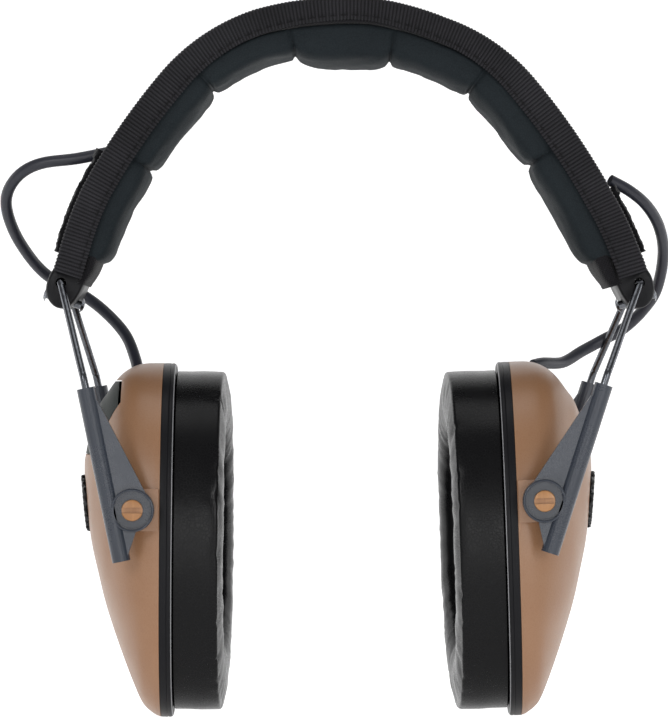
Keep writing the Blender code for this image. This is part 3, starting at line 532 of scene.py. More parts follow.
def oval(width: float, height: float, steps: int, power: float = 2.35) -> list[tuple[float, float]]:
    """A superellipse outline as (y, z) about its centre."""
    outline = []
    for i in range(steps):
        c, s = math.cos(math.tau * i / steps), math.sin(math.tau * i / steps)
        y = math.copysign(abs(c) ** (2 / power), c) * width / 2
        outline.append((y, math.copysign(abs(s) ** (2 / power), s) * height / 2))
    return outline


def ripple(point: Vector, scale: float, seed: float) -> float:
    """Repeatable noise from -1 to 1 at a point in millimetres, with features of about a scale."""
    return noise.noise(point / scale + Vector((seed, seed * 1.7, seed * 0.3)))


def swell(obj: bpy.types.Object, held: Callable[[Vector], bool], pressure: float, cap: float) -> None:
    """Puffs a closed soft piece up by cloth simulation, and applies the result.

    Args:
        obj: The piece, in place.
        held: Says whether a rest point, in millimetres, is sewn or glued down.
        pressure: The air pressure inside.
        cap: The most that a point may move, in millimetres.
    """
    rest = [v.co.copy() for v in obj.data.vertices]
    group = obj.vertex_groups.new(name="held")
    group.add([i for i, co in enumerate(rest) if held(co / MM)], 1.0, "REPLACE")
    cloth = obj.modifiers.new("Cloth", "CLOTH")
    cloth.settings.quality = CLOTH_QUALITY
    cloth.settings.use_pressure = True
    cloth.settings.uniform_pressure_force = pressure
    cloth.settings.tension_stiffness = CLOTH_STIFFNESS
    cloth.settings.compression_stiffness = CLOTH_STIFFNESS
    cloth.settings.bending_stiffness = CLOTH_BENDING
    cloth.settings.vertex_group_mass = "held"
    cloth.settings.effector_weights.gravity = 0
    scene = bpy.context.scene
    for step in range(1, CLOTH_STEPS + 1):
        scene.frame_set(step)
    graph = bpy.context.evaluated_depsgraph_get()
    puffed = [v.co.copy() for v in obj.evaluated_get(graph).data.vertices]
    obj.modifiers.clear()
    obj.vertex_groups.clear()
    for vertex, before, after in zip(obj.data.vertices, rest, puffed):
        move = after - before
        if move.length > cap * MM:
            move = move.normalized() * cap * MM
        vertex.co = before + move
    scene.frame_set(1)
    log.info("%s swelled", obj.name)


def dress(obj: bpy.types.Object, finish: Finish, body: str, slot: str, *nodes: str) -> bpy.types.Object:
    """Gives a new piece its finish and body, and hides the nodes that it stands for.

    Args:
        obj: The piece.
        finish: Its finish.
        body: The body that it rides on, or an empty string for none.
        slot: The record's material slot; not used.
        nodes: The nodes that it replaces.

    Returns:
        The piece.
    """
    obj.data.materials.clear()
    obj.data.materials.append(finish.material())
    if body:
        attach(obj, body)
    if nodes:
        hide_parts(*nodes)
    log.info("%s on %s", obj.name, body or "two bodies")
    return obj


def finish_node(name: str, finish: Finish, edge: float = 0.0) -> None:
    """Gives a carried-over node its finish, and rounded edges of a width in millimetres."""
    node = frame["nodes"][name]
    node.data.materials.clear()
    node.data.materials.append(finish.material())
    if edge:
        bevel = node.modifiers.new("Edges", "BEVEL")
        bevel.width = edge * MM
        bevel.segments = 2
        bevel.limit_method = "ANGLE"
        bevel.angle_limit = math.radians(38)
        bevel.use_clamp_overlap = True
    log.info("%s finished", name)


# ---- head band -------------------------------------------------------------------------------------------
@dataclass
class BandLine:
    """The band's outer line: arcs from the crown down, then a straight run."""

    crown: float = 17.6
    arcs: tuple[tuple[float, float], ...] = ((90.0, 16.0), (58.0, 34.0), (200.0, 10.0), (90.0, 12.0))
    tail: float = 9.5
    sag: dict = field(default_factory=lambda: {-1: -0.6, 1: 1.6})

    def settle(self, along: float) -> float:
        """How far the worn cloth has shifted inward at a length: outward on the left, inward on the right."""
        left = abs(along)
        rise = max(0.0, min(1.0, (left - 6) / 22))
        fall = max(0.0, min(1.0, (self.half - 2 - left) / 22))
        return self.sag[-1 if along < 0 else 1] * rise * fall

    @property
    def half(self) -> float:
        """The length from the crown to the cover's end."""
        return sum(r * math.radians(a) for r, a in self.arcs) + self.tail

    def at(self, along: float, depth: float, y: float) -> Vector:
        """The point at a length from the crown, a depth inside the outer line and a place across it."""
        side, left, heading = math.copysign(1.0, along), abs(along), 0.0
        depth += self.settle(along)
        x, z = 0.0, self.crown
        for radius, degrees in self.arcs:
            turn = min(math.radians(degrees), left / radius)
            x += radius * (math.sin(heading + turn) - math.sin(heading))
            z -= radius * (math.cos(heading) - math.cos(heading + turn))
            heading += turn
            left -= radius * turn
        x += left * math.cos(heading) - depth * math.sin(heading)
        z -= left * math.sin(heading) + depth * math.cos(heading)
        return Vector((side * x, y, z))


@dataclass
class HeadBand:
    """The cover, its bindings and flaps, the sewn pad and the metal inside."""

    line: BandLine = field(default_factory=BandLine)
    cover_width: float = 44.0
    cover_thick: float = 7.0
    rib_pitch: float = 1.05
    rib_depth: float = 0.28
    pad_width: float = 43.0
    pad_thick: float = 9.4
    pad_left_thick: float = 6.9
    section: float = 32.6
    seam_shift: float = -2.4
    pad_ends: tuple[float, float] = (-117.6, 117.0)
    flap_length: dict = field(default_factory=lambda: {"left": 32.4, "right": 21.6})

    def build(self) -> None:
        """Builds and dresses every piece of the band."""
        self.cover()
        for name, sign in (("front", -1), ("rear", 1)):
            self.binding(name, sign)
        self.pad()
        for side in Side:
            self.flap(side)
            self.cuff(side)
            self.band_end(side)
            finish_node(f"{side.label}_band_rivet", WIRE)
        finish_node("spring_strip", SPRING)

    def stations(self, start: float, end: float, step: float) -> list[float]:
        """Evenly spaced lengths along the band."""
        count = max(2, round((end - start) / step))
        return [start + (end - start) * i / count for i in range(count + 1)]

    def cover(self) -> None:
        """The woven sleeve, with soft edges and a slightly uneven outer face."""
        rings = []
        half_width, half_thick = self.cover_width / 2, self.cover_thick / 2
        for s in self.stations(-self.line.half - 0.8, self.line.half + 0.8, 1.6):
            ring = []
            for y, d in oval(self.cover_width, self.cover_thick, 48, 7.0):
                at = self.line.at(s, half_thick - d, y)
                slack = 0.22 * ripple(at, 11.0, 3.0) * (1 - (y / half_width) ** 4)
                ring.append(self.line.at(s, half_thick - d - (slack if d > 0 else 0.0), y))
            rings.append(ring)
        dress(loft("band_cover_cloth", rings), NYLON, "headband", "cover_fabric", "band_cover")

    def binding(self, name: str, sign: int) -> None:
        """A ribbed ribbon folded over one edge of the cover, with its row of stitches."""
        edge, thick, lap = sign * (self.cover_width / 2 + 0.35), sign * 0.75, sign * 3.4
        rings = []
        for s in self.stations(-self.line.half - 0.8, self.line.half + 0.8, self.rib_pitch / 4):
            rib = self.rib_depth * abs(math.sin(math.pi * s / self.rib_pitch))
            low = 5.2 + 2.0 * min(1.0, abs(s) / 60.0)
            skin = sign * rib
            outline = (
                (-0.35, edge - lap),
                (-0.75 - rib, edge - lap),
                (-0.8 - rib, edge),
                (-0.45 - rib, edge + 0.7 * thick + skin),
                (0.2, edge + thick + skin),
                (low / 2, edge + thick * 1.15 + skin),
                (low - 0.5, edge + thick + skin),
                (low + 0.1 + rib, edge + 0.3 * thick + skin),
                (low, edge - 0.2 * thick),
                (low / 2, edge - 0.1 * thick),
                (0.0, edge - 0.1 * thick),
                (-0.3, edge - 0.4 * thick),
            )
            rings.append([self.line.at(s, d, y) for d, y in outline])
        places = self.stations(-self.line.half - 0.8, self.line.half + 0.8, self.rib_pitch / 4)
        ribbon = loft(f"{name}_binding_ribbon", rings, lengths=places)
        dress(ribbon, RIBBON, "headband", "binding_ribbon", f"{name}_binding")
        row = []
        for s in self.stations(2 - self.line.half, self.line.half - 2, 3.0):
            low = 5.2 + 2.0 * min(1.0, abs(s) / 60.0)
            row.append(self.line.at(s, low - 1.0, edge + thick * 1.15 + sign * self.rib_depth))
        thread = stitches(f"{name}_binding_stitches", row, 2.2, 0.9, 0.2)
        dress(thread, THREAD, "headband", "binding_ribbon")

    def seams(self) -> list[float]:
        """The lengths at which the pad is sewn through, with its two ends."""
        inner = [self.seam_shift + (k + 0.5) * self.section for k in range(-3, 3)]
        return [self.pad_ends[0], *inner, self.pad_ends[1]]

    def seam_pinch(self, s: float) -> float:
        """How strongly the pad is pulled in at a length, from 0 to 1."""
        near = min(abs(s - seam) for seam in self.seams())
        return 0.72 * math.exp(-((near / 0.75) ** 2)) + 0.28 * math.exp(-((near / 3.0) ** 2))

    def pad_depth(self, s: float) -> float:
        """The depth of the pad's inner face, which is thinner on the left."""
        start, end = self.seams()[0], self.seams()[-1]
        left = max(0.0, min(1.0, (-s - 5) / 22))
        wave = left * left * (3 - 2 * left)
        full = self.cover_thick + self.pad_thick + wave * (self.pad_left_thick - self.pad_thick)
        full += 1.8 * math.exp(-(((s - self.seam_shift) / 15) ** 4))
        fade = max(0.0, min(1.0, (s - start + 2) / 7, (end - s + 2) / 7))
        return full - 2.0 * (1 - math.sin(fade * math.pi / 2)) - self.line.settle(s) * 0.4

    def pad_ring(self, s: float, proud: float = 0.0) -> Ring:
        """One ring across the pad."""
        spans = zip(self.seams(), self.seams()[1:])
        phase = next(((s - a) / (b - a) for a, b in spans if a <= s <= b), 0.0)
        crown = 1 - abs(2 * phase - 1) ** 6
        pinch = self.seam_pinch(s)
        top = self.cover_thick - 0.9
        low = self.pad_depth(s) + 0.5 * crown - 0.5 - 1.7 * pinch + proud
        width = self.pad_width + 0.6 * crown - 0.4 - 2.0 * pinch + 2 * proud
        middle, half = (top + low) / 2, (low - top) / 2
        ring = []
        for (y, d), (flat_y, flat_d) in zip(oval(width, 2 * half, 44, 3.2), oval(width, 2 * half, 44, 9.0)):
            if d > 0:
                y, d = flat_y, flat_d
            inner = max(0.0, -d / half)
            at = self.line.at(s, middle - d, y)
            fold = 0.85 * ripple(at, 12.0, 9.0) + 0.22 * ripple(at, 3.4, 4.0)
            near = math.exp(-((min(abs(s - seam) for seam in self.seams()) / 5.0) ** 2))
            tuck = 0.35 * near * ripple(Vector((at.x * 0.3, at.y, at.z * 0.3)), 2.6, 6.0)
            depth = middle - d + (fold + tuck) * (1 - pinch) * inner
            ring.append(self.line.at(s, depth, y * (1 + 0.012 * fold * (1 - inner))))
        return ring

    def pad(self) -> None:
        """The head pad: leatherette sections puffed between sewn seams, and the stitches in them."""
        start, end = self.seams()[0], self.seams()[-1]
        pad = loft("head_pad_leather", [self.pad_ring(s) for s in self.stations(start, end, 0.6)])
        line = self.line

        def held(point: Vector) -> bool:
            """True near the cover and in the seams."""
            rows = self.stations(start, end, 1.9)
            nearest = min(rows, key=lambda s: (line.at(s, 12, point.y) - point).length)
            top = (line.at(nearest, self.cover_thick + 1.5, point.y) - point).length < 2.6
            return top or self.seam_pinch(nearest) > 0.4

        swell(pad, held, 4.0, 0.8)
        dress(pad, PAD, "headband", "pad_leather", "head_pad")
        rows = []
        for number, seam in enumerate(self.seams()[1:-1]):
            ring = [p for p in self.pad_ring(seam, -0.1)][22:]
            rows.append(stitches(f"pad_seam_{number}", [*ring], 2.0, 0.9, 0.28))
        dress(joined("pad_seam_stitches", rows), THREAD, "headband", "pad_leather")

    def flap(self, side: Side) -> None:
        """The fuzzy hook-and-loop flap on the band's outer face, with its folded top."""
        label, sign = side.label, side.value
        start = self.line.half - self.flap_length[label] - 3.5
        rings = []
        for s in self.stations(start, self.line.half - 4.5, 0.45):
            ring = []
            near = min(1.0, (s - start) / 2.2)
            thick = 2.3 + (0.7 if s < start + 3.0 else 0.0)
            for y, d in oval(38.0 - 1.2 * (1 - near), thick, 56, 5.0):
                at = self.line.at(sign * s, -1.4 - d, y)
                tuft = 0.42 * ripple(at, 1.1, 5.0) + 0.3 * ripple(at, 3.6, 2.0)
                depth = -0.35 - thick / 2 - d - (tuft if d > 0 else 0.0)
                ring.append(self.line.at(sign * s, depth, y + 0.4 * ripple(at, 1.5, 8.0)))
            rings.append(ring)
        flap = loft(f"{label}_cover_flap_pile", rings)
        dress(flap, PILE, "headband", "hook_loop", f"{label}_cover_flap")

    def band_end(self, side: Side) -> None:
        """The moulded end of the band, a rounded lobe round the wire's crossbar, with softened ends."""
        lobe = (
            (-0.2, -0.9),
            (2.6, -1.7),
            (6.2, -1.5),
            (8.8, -0.2),
            (10.4, 2.0),
            (10.6, 4.2),
            (9.6, 6.2),
            (7.0, 7.6),
            (3.4, 8.4),
            (-0.2, 8.6),
        )
        knots = [Vector((a, d, 0)) for a, d in lobe]
        outline = smooth_line(knots, 5)
        middle = Vector((5.2, 3.4, 0))
        rings = []
        for y, share in ((-19.9, 0.86), (-19.6, 0.94), (-18.9, 1.0), (18.9, 1.0), (19.6, 0.94), (19.9, 0.86)):
            shape = [middle.lerp(p, share) for p in outline]
            rings.append([self.line.at(side.value * (self.line.half + p.x), p.y, y) for p in shape])
        moulding = loft(f"{side.label}_band_end_moulding", rings)
        hinge = self.line.at(side.value * (self.line.half + 3.6), 2.2, 0.0)
        bore = tube_rings([hinge - Vector((0, 30, 0)), hinge + Vector((0, 30, 0))], 1.55, 20)
        cut(moulding, loft("bore", bore), "DIFFERENCE")
        smooth(moulding)
        dress(moulding, BLACK, "headband", "black_plastic", f"{side.label}_band_end")

    def cuff(self, side: Side) -> None:
        """The plain cloth cuff between the pad's last section and the moulded end."""
        label, sign = side.label, side.value
        start = abs(self.seams()[0 if sign < 0 else -1]) - 1.2
        first = self.pad_depth(sign * start) - 2.2
        rings = []
        for s in self.stations(start, self.line.half + 2.2, 0.6):
            share = (s - start) / (self.line.half + 2.2 - start)
            low, high = self.cover_thick - 0.6, first - 2.2 * share + 0.5 * math.sin(math.pi * share)
            lip = 0.35 if s > self.line.half + 1.2 else 0.0
            ring = []
            for y, d in oval(42.4 + 2 * lip, high - low + lip, 44, 4.0):
                at = self.line.at(sign * s, (high + low) / 2 - d, y)
                crease = 0.3 * ripple(at, 5.0, 7.0)
                ring.append(self.line.at(sign * s, (high + low) / 2 - d + (crease if d < 0 else 0.0), y))
            rings.append(ring)
        dress(loft(f"{label}_band_cuff", rings), NYLON, "headband", "cover_fabric")


# ---- cups ------------------------------------------------------------------------------------------------
@dataclass
class EarCup:
    """One cup: its shell, ring, cushion and what is on and in it. X is outward from its pivot."""

    side: Side
    height: float = 102.4
    width: float = 78.0
    depth: float = 22.8
    wall: float = 2.0
    pivot_out: float = 7.5
    pivot_up: float = 10.5
    puff: dict = field(default_factory=lambda: {"left": (0.9, 0.075), "right": (0.945, 0.11)})
    seat: dict = field(default_factory=lambda: {"left": 0.9, "right": -1.1})
    boss_face: float = 39.4
    boss_height: float = 12.0
    base_thick: float = 3.3
    cushion: tuple[float, float, float] = (97.8, 74.4, 16.4)
    ear: tuple[float, float] = (62.0, 43.0)
    grille: tuple[float, float, float] = (17.0, 24.0, 10.5)
    gap: float = 0.3
    # share of the depth, then top, bottom and side as shares of half the height or width
    profile: tuple[tuple[float, float, float, float], ...] = (
        (0.0, 1.0, -1.0, 1.0),
        (0.09, 1.0, -0.982, 0.993),
        (0.23, 0.998, -0.925, 0.972),
        (0.36, 0.985, -0.8, 0.935),
        (0.5, 0.95, -0.64, 0.87),
        (0.62, 0.895, -0.49, 0.79),
        (0.72, 0.83, -0.35, 0.71),
        (0.81, 0.77, -0.19, 0.61),
        (0.89, 0.67, -0.04, 0.49),
        (0.95, 0.57, 0.14, 0.34),
        (1.0, 0.46, 0.34, 0.1),
    )

    @property
    def middle(self) -> float:
        """The height of the cup's middle over its pivot, as it has settled on its screws."""
        return self.seat[self.side.label] - self.pivot_up

    @property
    def body(self) -> str:
        """The body that the cup's pieces ride on."""
        return f"{self.side.label}_cup"

    def frame(self) -> Matrix:
        """The cup's frame, from its pivot and the direction that its cushion faces."""
        label = self.side.label
        joint = next(j for j in frame["joints"] if j["name"] == f"{label}_cup_tilt")
        seal = next(m for m in frame["record"]["mounts"] if m["name"] == f"{label}_ear_seal")
        out = -Vector(seal["axis"]).normalized()
        across = Vector((0, self.side.value, 0))
        turn = Matrix((out, across, out.cross(across))).transposed()
        return Matrix.Translation(Vector(joint["pos_m"])) @ turn.to_4x4()

    def put(self, obj: bpy.types.Object) -> bpy.types.Object:
        """Moves a mesh from the cup's frame to its place."""
        obj.data.transform(self.frame())
        return obj

    def ring(self, out: float, top: float, bottom: float, side: float, steps: int) -> Ring:
        """An oval across the cup, at a distance outward from the ring plane."""
        middle = (top + bottom) / 2 + self.middle
        outline = oval(2 * side, top - bottom, steps)
        return [Vector((out - self.pivot_out, y, z + middle)) for y, z in outline]

    def build(self) -> None:
        """Builds and dresses the whole cup."""
        label = self.side.label
        self.shell()
        self.leather_cushion()
        self.foam_sheet()
        self.mesh_grille()
        self.flange()
        self.trim_ring()
        finish_node(f"{label}_speaker", BLACK)
        finish_node(f"{label}_circuit_board", BOARD)
        finish_node(f"{label}_microphone", BLACK)
        finish_node(f"{label}_cable_grommet", RUBBER)
        for place in ("front", "rear"):
            self.screw(place)
            finish_node(f"{label}_{place}_arm", SLATE, 0.3)
        Bail(self.side).build()

    def outer(self, name: str, inset: float) -> bpy.types.Object:
        """A closed solid of the shell's outer form, drawn in by an inset."""
        knots = [Vector(row[:3]) for row in self.profile]
        sides = [Vector((row[3], 0, 0)) for row in self.profile]
        shape, widths = smooth_line(knots, 4), smooth_line(sides, 4)
        half_height, half_width = self.height / 2, self.width / 2
        rings = []
        for at, wide in zip(shape, widths):
            out = max(0.0, at.x) * (self.depth - inset) - (4.0 if at.x <= 0.0 and inset else 0.0)
            top = max(at.y * half_height - inset, at.z * half_height + inset + 0.4)
            bottom = min(at.z * half_height + inset, top - 0.2)
            side = max(wide.x * half_width - inset, 0.4)
            rings.append(self.ring(out, top, bottom, side, 96))
        return loft(name, rings)

    def block(self, name: str, low: Sequence[float], high: Sequence[float]) -> bpy.types.Object:
        """A tool between two corners, measured outward, across and up from the cup's middle."""
        shift = Vector((self.pivot_out, 0, -self.middle))
        a, b = Vector(low) - shift, Vector(high) - shift
        rings = [
            [Vector((x, a.y, a.z)), Vector((x, b.y, a.z)), Vector((x, b.y, b.z)), Vector((x, a.y, b.z))]
            for x in (a.x, b.x)
        ]
        return loft(name, rings)

    def boss(self, sign: int) -> bpy.types.Object:
        """The flat pad on the shell's side that the arm's disc turns on."""
        reach = self.boss_height / 2
        outline = [(self.gap - self.pivot_out, -reach), (0.0, -reach)]
        turns = [math.radians(-90 + 180 * k / 16) for k in range(1, 16)]
        outline += [(reach * math.cos(a), reach * math.sin(a)) for a in turns]
        outline += [(0.0, reach), (self.gap - self.pivot_out, reach)]
        levels = (self.boss_face - 5.2, self.boss_face)
        rings = [[Vector((x, sign * y, z)) for x, z in outline] for y in levels]
        return loft("boss", rings)

    def oval_bar(self, name: str, grow: float) -> bpy.types.Object:
        """A bar of the grille's outline through the shell's outer face."""
        tall, wide, up = self.grille
        low, high = self.depth - 8, self.depth + 5
        outline = oval(wide + 2 * grow, tall + 2 * grow, 40)
        shift = up + self.middle
        rings = [[Vector((x - self.pivot_out, y, z + shift)) for y, z in outline] for x in (low, high)]
        return loft(name, rings)

    def shell(self) -> None:
        """The moulded shell, open for its grille and, on the left, for the battery door."""
        label = self.side.label
        shell = self.outer(f"{label}_shell_skin", 0.0)
        cut(shell, self.outer("hollow", self.wall), "DIFFERENCE")
        for sign in (-1, 1):
            cut(shell, self.boss(sign), "UNION")
        cut(shell, self.oval_bar("grille_hole", self.gap), "DIFFERENCE")
        if self.side is Side.LEFT:
            self.door(shell)
        else:
            self.pod(shell)
        smooth(shell, 28)
        self.put(shell)
        dress(shell, TAN, self.body, "shell_tan", f"{label}_cup_shell")

    def door(self, shell: bpy.types.Object) -> None:
        """The battery door, cut from the shell's own form."""
        low, high = (12.6, -23.0, 25.0), (self.depth + 5, 23.0, 45.8)
        hinge_gap = self.gap + 0.5
        hole_low = Vector(low) - Vector((hinge_gap, self.gap, self.gap))
        hole_high = Vector(high) + Vector((0, self.gap, self.gap))
        door = self.outer("battery_door_panel", 0.0)
        cut(door, self.outer("hollow", self.wall), "DIFFERENCE")
        cut(door, self.block("door_shape", low, high), "INTERSECT")
        cut(shell, self.block("door_hole", hole_low, hole_high), "DIFFERENCE")
        smooth(door, 28)
        self.put(door)
        dress(door, DOOR, "battery_door", "door_plastic", "battery_door")
        for name in ("battery_1", "battery_2"):
            finish_node(name, CELL)

    def pod(self, shell: bpy.types.Object) -> None:
        """The control pod at the rear, with a knurled volume knob and the audio socket."""
        outline = oval(15.0, 25.0, 40, 4.0)
        middle, down = 8.2 - self.pivot_out, -18.5 - self.pivot_up
        levels = (self.boss_face - 11.0, self.boss_face)
        rings = [[Vector((x + middle, y, z + down)) for x, z in outline] for y in levels]
        cut(shell, loft("pod", rings), "UNION")
        jack = tube_rings([Vector((middle, y, -25.5 - self.pivot_up)) for y in (31.0, 44.0)], 3.5, 24)
        cut(shell, loft("socket", jack), "DIFFERENCE")
        self.knob(middle)
        finish_node("audio_jack", SPRING)

    def knob(self, middle: float) -> None:
        """The volume knob, knurled round its rim, with a pointer groove."""
        seat, height, radius, ribs = self.boss_face + self.gap, 4.6, 6.4, 24
        levels = ((0.0, 0.97), (0.5, 1.0), (height - 0.9, 1.0), (height - 0.3, 0.95), (height, 0.86))
        rings = []
        for y, share in levels:
            ring = []
            for k in range(ribs * 6):
                a = math.tau * k / (ribs * 6)
                groove = 0.28 * max(0.0, math.cos(a * ribs)) if share >= 0.95 else 0.0
                pointer = 0.9 if abs(a - math.pi / 2) < 0.09 else 0.0
                r = radius * share - groove - pointer
                across, up = middle + r * math.cos(a), -13.5 - self.pivot_up + r * math.sin(a)
                ring.append(Vector((across, seat + y, up)))
            rings.append(ring)
        knob = self.put(loft("volume_knob_knurled", rings))
        dress(knob, BLACK, "volume_knob", "black_plastic", "volume_knob")

    def leather_cushion(self) -> None:
        """The ear cushion: a soft wall, a puffed face open to the front, and a deep ear opening."""
        tall, wide, deep = self.cushion
        label = self.side.label
        section = (
            (0.05, 0.0),
            (0.0, 0.6),
            (0.0, 5.0),
            (-0.008, 9.0),
            (-0.004, 12.5),
            (0.0, 14.6),
            (0.006, 15.1),
            (0.022, 15.45),
            (0.05, 15.6),
            (0.1, 15.75),
            (0.18, 16.1),
            (0.3, 16.6),
            (0.45, 16.9),
            (0.6, 16.9),
            (0.74, 16.5),
            (0.87, 15.6),
            (0.96, 14.2),
            (1.0, 12.4),
            (1.0, 6.0),
            (1.0, 0.3),
            (0.6, 0.0),
        )
        steps = 180
        outer, hole = oval(wide, tall, steps), oval(self.ear[1], self.ear[0], steps)
        rings: list[Ring] = []
        back = -self.base_thick - self.gap - self.pivot_out
        for (oy, oz), (hy, hz) in zip(outer, hole):
            ring = []
            for w, x in section:
                y, z = oy + (hy - oy) * w, oz + (hz - oz) * w
                front = -self.side.value * y / (wide / 2)
                middle, lean = self.puff[self.side.label]
                full = x * (middle - lean * front)
                point = Vector((back - full, y, z + self.middle))
                ring.append(point + self.wrinkle(point, w, x / deep))
            rings.append(ring)
        piece = loft(f"{label}_leather_cushion", rings, loop=True)

        def held(point: Vector) -> bool:
            """True at the back, where the cushion is clipped on."""
            return point.x > back - 3.0

        swell(piece, held, 3.0, 0.7)
        self.put(piece)
        dress(piece, CUSHION, self.body, "cushion_leather", f"{label}_ear_cushion")

    def wrinkle(self, point: Vector, across: float, deep: float) -> Vector:
        """The small folds of the cushion's skin: radial puckers on its face, shallow dents on its wall."""
        seed = 3.0 if self.side is Side.LEFT else 11.0
        turn = math.atan2(point.z - self.middle, point.y)
        pucker = noise.noise(Vector((math.cos(turn) * 9, math.sin(turn) * 9, across * 1.2 + seed)))
        crease = noise.noise(Vector((math.cos(turn) * 22, math.sin(turn) * 22, across * 2.0 + seed)))
        on_face = max(0.0, min(1.0, across / 0.25)) if deep > 0.5 else 0.0
        dent = ripple(point, 24.0, seed) * max(0.0, 1 - on_face) * max(0.0, deep)
        nick = max(0.0, crease - 0.25) * max(0.0, 1 - abs(deep - 0.92) / 0.12)
        pull = Vector((0, math.cos(turn), math.sin(turn)))
        outward = on_face * (0.3 * pucker + 0.22 * crease) + 1.4 * nick
        return Vector((outward, 0, 0)) + pull * (0.35 * dent - 0.8 * nick)

    def foam_sheet(self) -> None:
        """The foam that lines the ear opening, dished and pored."""
        tall, wide = self.ear[0] - 0.8, self.ear[1] - 0.8
        back = -self.base_thick - self.gap - self.pivot_out
        rings = []
        edge = ((0.98, 0.0), (1.0, 0.3), (1.0, 2.4), (0.97, 3.0))
        face = ((0.8, 2.9), (0.5, 2.6), (0.2, 2.5), (0.02, 2.5))
        for share, x in (*edge, *face):
            outline = oval(wide * share, tall * share, 72)
            rings.append([Vector((back - x, y, z + self.middle)) for y, z in outline])
        foam = self.put(loft(f"{self.side.label}_foam_sheet", rings))
        dress(foam, FOAM, self.body, "foam", f"{self.side.label}_ear_foam")

    def mesh_grille(self) -> None:
        """The microphone's mesh: a domed patch of woven wire in the shell's form."""
        label = self.side.label
        tall, wide, up = self.grille
        patch = self.outer("patch", 0.0)
        cut(patch, self.oval_bar("grille_shape", -self.gap), "INTERSECT")
        bars = []
        tree_rows = ((wide, tall, 1), (tall, wide, 0))
        surface = bpy.data.objects.new("surface", patch.data)
        bpy.context.scene.collection.objects.link(surface)
        bpy.context.view_layer.update()
        pitch, radius, sunk = 1.7, 0.5, -0.35
        for long, other, flat in tree_rows:
            rows = int(other / pitch)
            for i in range(rows + 1):
                offset = -other / 2 + (i + 0.5) * pitch
                line = []
                for k in range(int(long / 0.45) + 1):
                    run = -long / 2 + k * 0.45
                    y, z = (run, offset) if flat else (offset, run)
                    if abs(y / (wide / 2 - 0.6)) ** 2.35 + abs(z / (tall / 2 - 0.6)) ** 2.35 > 1:
                        continue
                    start = Vector((self.depth + 8 - self.pivot_out, y, z + up + self.middle)) * MM
                    hit, place, _, _ = surface.ray_cast(start, Vector((-1, 0, 0)))
                    if hit:
                        shift = 0 if flat else math.pi / 2
                        over = 0.3 * math.sin(math.pi * run / pitch + math.pi * i + shift)
                        line.append(place / MM + Vector((over - sunk, 0, 0)))
                if len(line) > 3:
                    bars.append(loft("bar", tube_rings(line, radius, 6)))
        bpy.data.objects.remove(surface, do_unlink=True)
        backing = patch
        backing.name = "backing"
        backing.data.transform(Matrix.Translation(Vector((-1.5 * MM, 0, 0))))
        bpy.context.view_layer.update()
        cut(backing, self.outer("hollow", self.wall + 1.5), "DIFFERENCE")
        grille = self.put(joined(f"{label}_grille_mesh", [backing, *bars]))
        dress(grille, MESH, self.body, "mesh_black", f"{label}_mic_grille")

    def screw(self, place: str) -> None:
        """A pivot screw with a broad slot, and the raised rim of the disc that it holds."""
        label, sign = self.side.label, (1 if place == "rear" else -1) * self.side.value
        across = Vector((0, sign, 0))
        turned = ((35.0, 1.45), (43.35, 1.5), (43.4, 2.95), (44.5, 3.05), (44.78, 2.9), (44.9, 2.6))
        rings = []
        for y, radius in turned:
            turns = [math.tau * k / 40 for k in range(40)]
            circle = [Vector((radius * math.cos(a), 0, radius * math.sin(a))) for a in turns]
            rings.append([across * y + point for point in circle])
        screw = loft(f"{label}_{place}_slotted_screw", rings)
        corners = ((-4.0, -0.8), (4.0, -0.8), (4.0, 0.8), (-4.0, 0.8))
        slot = [[Vector((x, sign * y, z)) for x, z in corners] for y in (43.7, 46.0)]
        cut(screw, loft("slot", slot), "DIFFERENCE")
        smooth(screw)
        dress(self.put(screw), GOLD, self.body, "screw_tan", f"{label}_{place}_pivot_screw")
        rim = []
        bead, high, far = 0.34, 44.75, 5.78
        for k in range(72):
            a = math.tau * k / 72
            out = Vector((math.cos(a), 0, math.sin(a)))
            turns = [math.tau * t / 8 for t in range(8)]
            rim.append(
                [across * (high + bead * math.sin(t)) + out * (far + bead * math.cos(t)) for t in turns]
            )
        rim_ring = self.put(loft(f"{label}_{place}_disc_rim", rim, loop=True))
        dress(rim_ring, SLATE, f"{label}_arms", "arm_plastic")

    def trim_ring(self) -> None:
        """The black ring between shell and cushion, rounded, with a step where the cushion clips on."""
        thick = self.base_thick
        section = (
            (0.0, -0.35),
            (-0.12, -0.05),
            (-0.4, 0.0),
            (-thick * 0.6, 0.0),
            (-thick * 0.64, -0.14),
            (-thick * 0.7, -0.02),
            (-thick + 0.35, -0.02),
            (-thick + 0.06, -0.18),
            (-thick, -0.5),
            (-thick, -9.0),
            (0.0, -9.0),
        )
        rings = []
        steps = 168
        for k in range(steps):
            ring = []
            for x, inset in section:
                y, z = oval(self.width + 2 * inset, self.height + 2 * inset, steps)[k]
                ring.append(Vector((x - self.pivot_out, y, z + self.middle)))
            rings.append(ring)
        made = self.put(loft(f"{self.side.label}_trim_ring", rings, loop=True))
        dress(made, BLACK, self.body, "black_plastic", f"{self.side.label}_base_ring")

